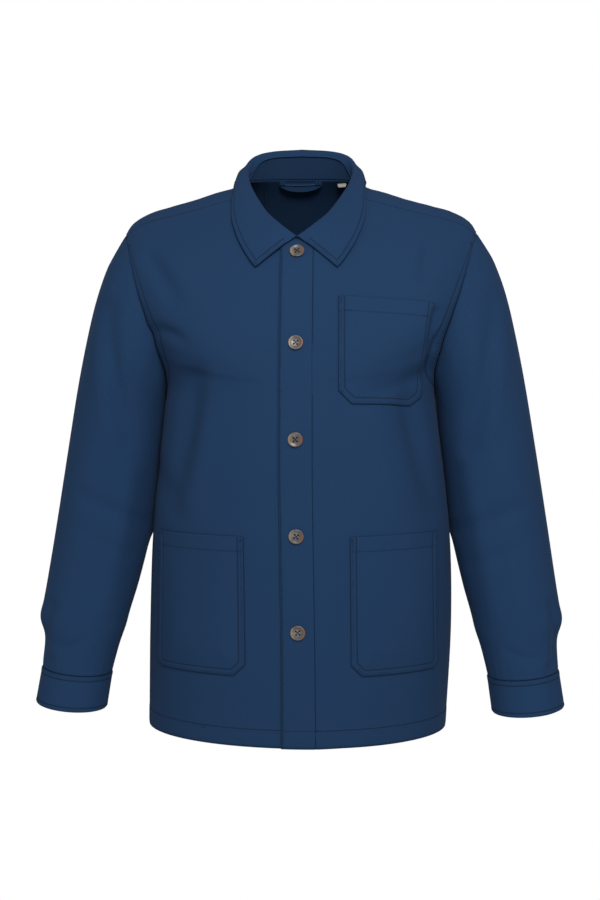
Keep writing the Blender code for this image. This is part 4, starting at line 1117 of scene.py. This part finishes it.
share = np.linspace(-1, 1, 61)
bow = np.clip(1.15 - np.abs(share) ** 4 * 1.15, 0, 1)
x = LOOP_HALF * share
seat = np.array([inside_back(a, LOOP_TOP)[1] for a in x]) - LOOP_OFF - LOOP_BOW * bow
x = x + LOOP_SHIFT
foot = LOOP_FOOT - LOOP_DROP * np.clip(1 - np.abs(share) ** 2.6, 0, 1) ** 0.8
steps = np.linspace(0, 1, 12)[None, :]
height = LOOP_TOP + (foot[:, None] - LOOP_TOP) * steps
sag = 0.0012 * np.sin(np.pi * steps) * (1 - share[:, None] ** 2)
points = np.stack([np.broadcast_to(x[:, None], height.shape), seat[:, None] + sag, height], -1)
normals = unit(np.cross(np.gradient(points, axis=1), np.gradient(points, axis=0)))
normals = normals * np.sign(-normals[:, :, 1:2])
from_top = LOOP_TOP - height
away = np.minimum(from_top, height - foot[:, None])
loop = shell("twill_hanger_loop", points, normals, 0.0012, neck_cotton_painted_shade,
             (away, np.broadcast_to(x[:, None], away.shape)))
sew_on(loop, "hanger_loop")
upper = np.stack([x, seat - 0.0007, np.full_like(x, LOOP_TOP - 0.0042)], 1)
lower = np.stack([x, seat - 0.0005, foot + 0.0004], 1)
# Painted highlight: the loop's upper roll and the roll along the collar's seam are coloured lighter
# than the body.
roll_cotton_painted_highlight = cotton("indigo twill, rolled edges, painted highlight", (0.0240, 0.0690, 0.1650), 0.0, -0.02)
trims = [solid_tube("loop_upper_roll", upper[2:-2], np.full(len(x) - 4, 0.0009), roll_cotton_painted_highlight),
         solid_tube("loop_lower_roll", lower[2:-2], np.full(len(x) - 4, 0.0006), neck_cotton_painted_shade),
         solid_tube("collar_seam_roll", roll_path, np.full(len(roll_path), 0.0007), roll_cotton_painted_highlight)]
for k, middle in enumerate((-0.0285, -0.0245, 0.0240, 0.0285)):
    way = np.linspace(-1, 1, 9)
    near = np.full(len(way), inside_back(middle, LOOP_TOP)[1] - TACK_PROUD)
    knot = np.stack([middle + LOOP_SHIFT + way * 0.0002, near,
                     LOOP_TOP - 0.0022 + way * TACK_HALF], 1)
    trims.append(solid_tube("loop_tack_%d" % (k + 1), knot, TACK_RADIUS * np.sqrt(
        np.clip(1.04 - way**4, 0.02, 1)), neck_cotton_painted_shade))
for trim in trims:
    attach(trim, "root")


# --- The size tab -------------------------------------------------------------------------------
# A small blank tab of folded off-white tape with clipped lower corners, caught in the neck seam.

TAB_MIDDLE, TAB_TOP, TAB_HALF, TAB_DEPTH = 0.0592, 0.0184, 0.0062, 0.0076
tape, tree, shader = new_material("off-white woven tape")
place = add(tree, "ShaderNodeTexCoord")
threads = add(tree, "ShaderNodeTexWave", {"Vector": place.outputs["Object"], "Scale": 700.0,
                                          "Distortion": 0.6}, bands_direction="Z")
shades = add(tree, "ShaderNodeMix", {0: threads.outputs["Fac"], 6: (0.56, 0.53, 0.46, 1),
                                     7: (0.70, 0.67, 0.60, 1)}, data_type="RGBA")
tree.links.new(shades.outputs[2], shader.inputs["Base Color"])
shader.inputs["Roughness"].default_value = 0.75
bumps = add(tree, "ShaderNodeBump", {"Height": threads.outputs["Fac"], "Strength": 0.3,
                                     "Distance": 0.0002})
tree.links.new(bumps.outputs[0], shader.inputs["Normal"])
share = np.linspace(-1, 1, 15)
down = np.linspace(0, 1, 9)
across, low = np.meshgrid(share, down, indexing="ij")
clipped = 1 - 0.22 * ease((low - 0.55) / 0.45)
x = TAB_MIDDLE + across * TAB_HALF * clipped
behind = np.array([inside_back(a, 0.0155)[1] for a in x[:, 0]])[:, None] - 0.0050
y = behind - 0.0012 * low - 0.0004 * np.sin(np.pi * low) * (1 - across**2)
points = np.stack([x, y, TAB_TOP - TAB_DEPTH * low - 0.0010 * across], -1)
normals = unit(np.cross(np.gradient(points, axis=1), np.gradient(points, axis=0)))
normals = normals * np.sign(-normals[:, :, 1:2])
tab = shell("blank_size_tab", points, normals, 0.0009, tape)
sew_on(tab, "size_tab")


# --- The buttons --------------------------------------------------------------------------------
# Five turned horn buttons, 19.4 mm across, with a raised rim and four holes. Dark thread crosses
# between the holes. The horn is grey-brown with a warm edge. A tan streak, placed on the left of
# every button and lightened there, is a painted highlight.

BUTTON_RADIUS, BUTTON_THICK, BUTTON_HOLE, BUTTON_PITCH = 0.0097, 0.0030, 0.00120, 0.0023
BUTTON_X = 0.0006
Button = namedtuple("Button", "node z turn")
BUTTONS = [
    Button("button_1", -0.1140, 8),
    Button("button_2", -0.2380, -6),
    Button("button_3", -0.3620, 3),
    Button("button_4", -0.4850, -10),
    Button("button_5", -0.6080, 5),
]
horn, tree, shader = new_material("polished horn")
face = add(tree, "ShaderNodeUVMap", uv_map="face")
place = add(tree, "ShaderNodeTexCoord")
apart = add(tree, "ShaderNodeSeparateXYZ", {0: face.outputs[0]})
cloud = add(tree, "ShaderNodeTexNoise", {"Vector": place.outputs["Object"], "Scale": 160.0,
                                         "Detail": 4.0, "Distortion": 1.2})
grain = add(tree, "ShaderNodeTexNoise", {"Vector": place.outputs["Object"], "Scale": 900.0})
drift = maths(tree, "MULTIPLY_ADD", cloud.outputs["Fac"], 0.9, maths(
    tree, "SUBTRACT", apart.outputs[0], 0.45))
warm = add(tree, "ShaderNodeMapRange", {0: drift, 1: 0.35, 2: 0.95, 3: 0.0, 4: 1.0},
           interpolation_type="SMOOTHSTEP")
# Painted highlight: every button is coloured lighter and tan on its left side.
painted_left_highlight = add(tree, "ShaderNodeMapRange", {0: drift, 1: -0.75, 2: -0.35, 3: 1.0, 4: 0.0},
             interpolation_type="SMOOTHSTEP")
base = add(tree, "ShaderNodeMix", {0: warm.outputs[0], 6: (0.112, 0.100, 0.096, 1),
                                   7: (0.200, 0.098, 0.062, 1)}, data_type="RGBA")
horn_with_painted_highlight = add(tree, "ShaderNodeMix", {0: painted_left_highlight.outputs[0], 6: base.outputs[2],
                                  7: (0.270, 0.205, 0.140, 1)}, data_type="RGBA")
grained = add(tree, "ShaderNodeHueSaturation", {"Color": horn_with_painted_highlight.outputs[2], "Value": maths(
    tree, "MULTIPLY_ADD", grain.outputs["Fac"], 0.5, 0.75)})
tree.links.new(grained.outputs[0], shader.inputs["Base Color"])
shader.inputs["Roughness"].default_value = 0.28
shader.inputs["Specular IOR Level"].default_value = 0.50


def spun_thread(name, dark, light):
    """Thread in two close shades, mixed fibre by fibre."""
    material, tree, shader = new_material(name)
    where = add(tree, "ShaderNodeTexCoord")
    fibre = add(tree, "ShaderNodeTexNoise", {"Vector": where.outputs["Object"], "Scale": 4000.0})
    mixed = add(tree, "ShaderNodeMix", {0: fibre.outputs["Fac"], 6: (*dark, 1), 7: (*light, 1)},
                data_type="RGBA")
    tree.links.new(mixed.outputs[2], shader.inputs["Base Color"])
    shader.inputs["Roughness"].default_value = 0.7
    return material


button_thread = spun_thread("waxed button thread", (0.0015, 0.002, 0.004), (0.005, 0.007, 0.012))

# Rows of the turned profile, as shares of the radius and of the thickness.
Turned = namedtuple("Turned", "reach height")
PROFILE = [Turned(0.00, 0.63), Turned(0.28, 0.64), Turned(0.46, 0.67), Turned(0.60, 0.74),
           Turned(0.71, 0.84), Turned(0.80, 0.94), Turned(0.87, 0.99), Turned(0.93, 0.95),
           Turned(0.975, 0.82), Turned(1.00, 0.62), Turned(0.99, 0.40), Turned(0.93, 0.18),
           Turned(0.80, 0.04), Turned(0.62, 0.00), Turned(0.00, 0.00)]
SPOKES = 64
angles = np.linspace(0, 2 * np.pi, SPOKES, endpoint=False)
for button in BUTTONS:
    points = [(0, 0, PROFILE[0].height * BUTTON_THICK)]
    for row in PROFILE[1:-1]:
        points += [(row.reach * BUTTON_RADIUS * np.cos(a), row.reach * BUTTON_RADIUS * np.sin(a),
                    row.height * BUTTON_THICK) for a in angles]
    points.append((0, 0, 0))
    rings = len(PROFILE) - 2
    faces = []
    for k in range(SPOKES):
        n = (k + 1) % SPOKES
        faces.append((0, 1 + k, 1 + n))
        for r in range(rings - 1):
            upper, lower = 1 + r * SPOKES, 1 + (r + 1) * SPOKES
            faces.append((upper + k, lower + k, lower + n, upper + n))
        lowest = 1 + (rings - 1) * SPOKES
        faces.append((lowest + k, len(points) - 1, lowest + n))
    data = bpy.data.meshes.new("horn_" + button.node)
    data.from_pydata([tuple(float(v) for v in point) for point in points], [], faces)
    data.materials.append(horn)
    disc = linked("horn_" + button.node, data)
    drills = bmesh.new()
    for sx in (-1, 1):
        for sy in (-1, 1):
            made = bmesh.ops.create_cone(drills, cap_ends=True, segments=16, radius1=BUTTON_HOLE,
                                         radius2=BUTTON_HOLE, depth=4 * BUTTON_THICK)
            bmesh.ops.translate(drills, verts=made["verts"],
                                vec=(sx * BUTTON_PITCH, sy * BUTTON_PITCH, 0))
    cutter_data = bpy.data.meshes.new("drills")
    drills.to_mesh(cutter_data)
    drills.free()
    cutter = linked("drills", cutter_data)
    holes = disc.modifiers.new("holes", "BOOLEAN")
    holes.solver = "EXACT"
    holes.object = cutter
    drilled = bpy.data.meshes.new_from_object(disc.evaluated_get(
        bpy.context.evaluated_depsgraph_get()))
    disc.modifiers.clear()
    bpy.data.objects.remove(cutter)
    disc.data = drilled
    count = len(drilled.vertices)
    where = np.empty(count * 3)
    drilled.vertices.foreach_get("co", where)
    where = where.reshape(-1, 3)
    turn = np.radians(button.turn)
    spin = np.array([[np.cos(turn), -np.sin(turn)], [np.sin(turn), np.cos(turn)]])
    layer = drilled.uv_layers.new(name="face")
    corner = np.empty(len(drilled.loops), int)
    drilled.loops.foreach_get("vertex_index", corner)
    layer.data.foreach_set("uv", (where[:, :2] / BUTTON_RADIUS)[corner].astype(
        np.float32).ravel())
    drilled.shade_smooth()
    drilled.set_sharp_from_angle(angle=0.9)
    angle, level = on_front(np.array([BUTTON_X]), np.array([button.z]), "left")
    seat, normal = body_plain(angle, level)[0], body_normal(angle, level)[0]
    axis_x = unit(np.cross(np.array([0.0, 0.0, 1.0]), normal))
    axis_y = np.cross(normal, axis_x)
    place = seat + normal * (DOUBLE_CLOTH + 2.1 * SEAM_GAP + 0.0002)

    def set_down(local):
        flat_xy = local[..., :2] @ spin.T
        return (place + flat_xy[..., :1] * axis_x + flat_xy[..., 1:2] * axis_y
                + local[..., 2:] * normal)

    drilled.vertices.foreach_set("co", set_down(where).astype(np.float32).ravel())
    drilled.update()
    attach(disc, "root")
    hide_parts(button.node)
    for k, (sx, sy) in enumerate(((1, 1), (1, -1))):
        way = np.linspace(-1, 1, 11)
        strand = np.stack([way * BUTTON_PITCH * sx, way * BUTTON_PITCH * sy,
                           BUTTON_THICK * (0.70 + 0.12 * k) - 0.0012 * way**8], 1)
        cross = solid_tube("thread_%s_%d" % (button.node, k + 1), set_down(strand),
                           np.full(11, 0.00040), button_thread, 8)
        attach(cross, "root")


# --- The stitching ------------------------------------------------------------------------------
# Lockstitch in dark blue polyester, about three stitches to the centimetre, on the hems, the
# armholes, the collar, the placket, the pockets and the cuffs, with bar tacks at the mouths.

STITCH_PITCH, STITCH_LENGTH, STITCH_WIDTH = 0.0032, 0.0024, 0.0006
sewing_thread = spun_thread("dark sewing thread", (0.006, 0.014, 0.030), (0.014, 0.032, 0.066))


def sewn(lines, pitch):
    """Evenly spaced points of stitched lines, with the line's direction and the cloth's."""
    places, ways, faces_out = [], [], []
    for line, facing in lines:
        run = run_along(line)
        spots = np.arange(pitch / 2, run[-1], pitch)
        place = np.stack([np.interp(spots, run, line[:, k]) for k in range(3)], 1)
        ahead = np.stack([np.interp(spots + pitch / 4, run, line[:, k]) for k in range(3)], 1)
        normal = unit(np.stack([np.interp(spots, run, facing[:, k]) for k in range(3)], 1))
        places.append(place + normal * 0.00004)
        ways.append(unit(ahead - place + 1e-9))
        faces_out.append(normal)
    return [np.concatenate(part) for part in (places, ways, faces_out)]


def stitch_tree():
    """Instances a small rounded stitch on each point, turned along its direction."""
    group = bpy.data.node_groups.new("stitches", "GeometryNodeTree")
    group.interface.new_socket("Geometry", in_out="INPUT", socket_type="NodeSocketGeometry")
    for label, value in (("Length", STITCH_LENGTH), ("Width", STITCH_WIDTH)):
        socket = group.interface.new_socket(label, in_out="INPUT", socket_type="NodeSocketFloat")
        socket.default_value = value
    group.interface.new_socket("Geometry", in_out="OUTPUT", socket_type="NodeSocketGeometry")
    inward, outward = group.nodes.new("NodeGroupInput"), group.nodes.new("NodeGroupOutput")
    bead = add(group, "GeometryNodeMeshUVSphere", {"Segments": 6, "Rings": 4, "Radius": 0.5})
    size = add(group, "ShaderNodeCombineXYZ", {0: inward.outputs["Length"],
                                               1: inward.outputs["Width"],
                                               2: inward.outputs["Width"]})
    shaped = add(group, "GeometryNodeTransform", {"Geometry": bead.outputs["Mesh"],
                                                  "Scale": size.outputs[0]})
    way = add(group, "GeometryNodeInputNamedAttribute", {"Name": "way"},
              data_type="FLOAT_VECTOR")
    facing = add(group, "GeometryNodeInputNamedAttribute", {"Name": "facing"},
                 data_type="FLOAT_VECTOR")
    turned = add(group, "FunctionNodeAxesToRotation", {
        0: way.outputs["Attribute"], 1: facing.outputs["Attribute"]},
        primary_axis="X", secondary_axis="Z")
    placed = add(group, "GeometryNodeInstanceOnPoints", {
        "Points": inward.outputs["Geometry"], "Instance": shaped.outputs["Geometry"],
        "Rotation": turned.outputs[0]})
    real = add(group, "GeometryNodeRealizeInstances", {"Geometry": placed.outputs["Instances"]})
    finish = add(group, "GeometryNodeSetMaterial", {"Geometry": real.outputs["Geometry"],
                                                    "Material": sewing_thread})
    group.links.new(finish.outputs["Geometry"], outward.inputs[0])
    return group


stitching = stitch_tree()


def sew(name, lines, pitch, length):
    """One mesh of the stitches along some lines."""
    places, ways, facings = sewn(lines, pitch)
    data = bpy.data.meshes.new(name)
    data.from_pydata(places.tolist(), [], [])
    for label, values in (("way", ways), ("facing", facings)):
        attribute = data.attributes.new(label, "FLOAT_VECTOR", "POINT")
        attribute.data.foreach_set("vector", values.astype(np.float32).ravel())
    made = linked(name, data)
    modifier = made.modifiers.new("stitches", "NODES")
    modifier.node_group = stitching
    sockets = {item.name: item.identifier for item in stitching.interface.items_tree
               if item.in_out == "INPUT"}
    modifier[sockets["Length"]] = length
    modifier[sockets["Width"]] = STITCH_WIDTH
    plain = bpy.data.meshes.new_from_object(made.evaluated_get(
        bpy.context.evaluated_depsgraph_get()))
    made.modifiers.clear()
    made.data = plain
    plain.shade_smooth()
    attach(made, "root")
    return made


sew("topstitching", stitches, STITCH_PITCH, STITCH_LENGTH)
sew("bar_tacks", tacks, 0.0007, 0.0012)


# --- Camera, light and backdrop -----------------------------------------------------------------
# A plain white studio. A large soft light hangs in front, above the jacket, with a weaker one
# low down. A small lamp glints on the buttons, and one lights the back.

def aim(made, place, target):
    """Put a camera or a lamp at a place, looking at a target."""
    made.location = place
    made.rotation_euler = (Vector(target) - Vector(place)).to_track_quat("-Z", "Y").to_euler()


camera_data = bpy.data.cameras.new("camera")
camera_data.sensor_width = 36.0
camera_data.lens = 39.3
camera = linked("camera", camera_data)
aim(camera, (0.0611, -1.3987, -0.375), (0, 0, -0.375))
bpy.context.scene.camera = camera

world = bpy.data.worlds.new("white studio")
bpy.context.scene.world = world
world.use_nodes = True
tree = world.node_tree
surround = tree.nodes["Background"]
surround.inputs["Color"].default_value = (1, 1, 1, 1)
surround.inputs["Strength"].default_value = 0.28
paper = add(tree, "ShaderNodeBackground", {"Color": (1, 1, 1, 1), "Strength": 1.0})
path = add(tree, "ShaderNodeLightPath")
chosen = add(tree, "ShaderNodeMixShader", {0: path.outputs["Is Camera Ray"],
                                           1: surround.outputs[0], 2: paper.outputs[0]})
tree.links.new(chosen.outputs[0], tree.nodes["World Output"].inputs["Surface"])
bpy.context.scene.view_settings.view_transform = "Standard"

Lamp = namedtuple("Lamp", "name x y z size power")
LAMPS = [
    Lamp("key", 0.28, -1.62, 0.62, 0.7, 18.0),
    Lamp("low", 0.10, -1.70, -1.00, 0.8, 4.5),
    Lamp("side", -1.35, -1.25, 0.10, 0.12, 0.7),
    Lamp("back", -0.30, 2.00, 0.50, 1.0, 13.0),
]
for lamp in LAMPS:
    data = bpy.data.lights.new(lamp.name, "AREA")
    data.shape = "DISK"
    data.size = lamp.size
    data.energy = lamp.power
    aim(linked(lamp.name, data), (lamp.x, lamp.y, lamp.z), (0, 0, -0.3))
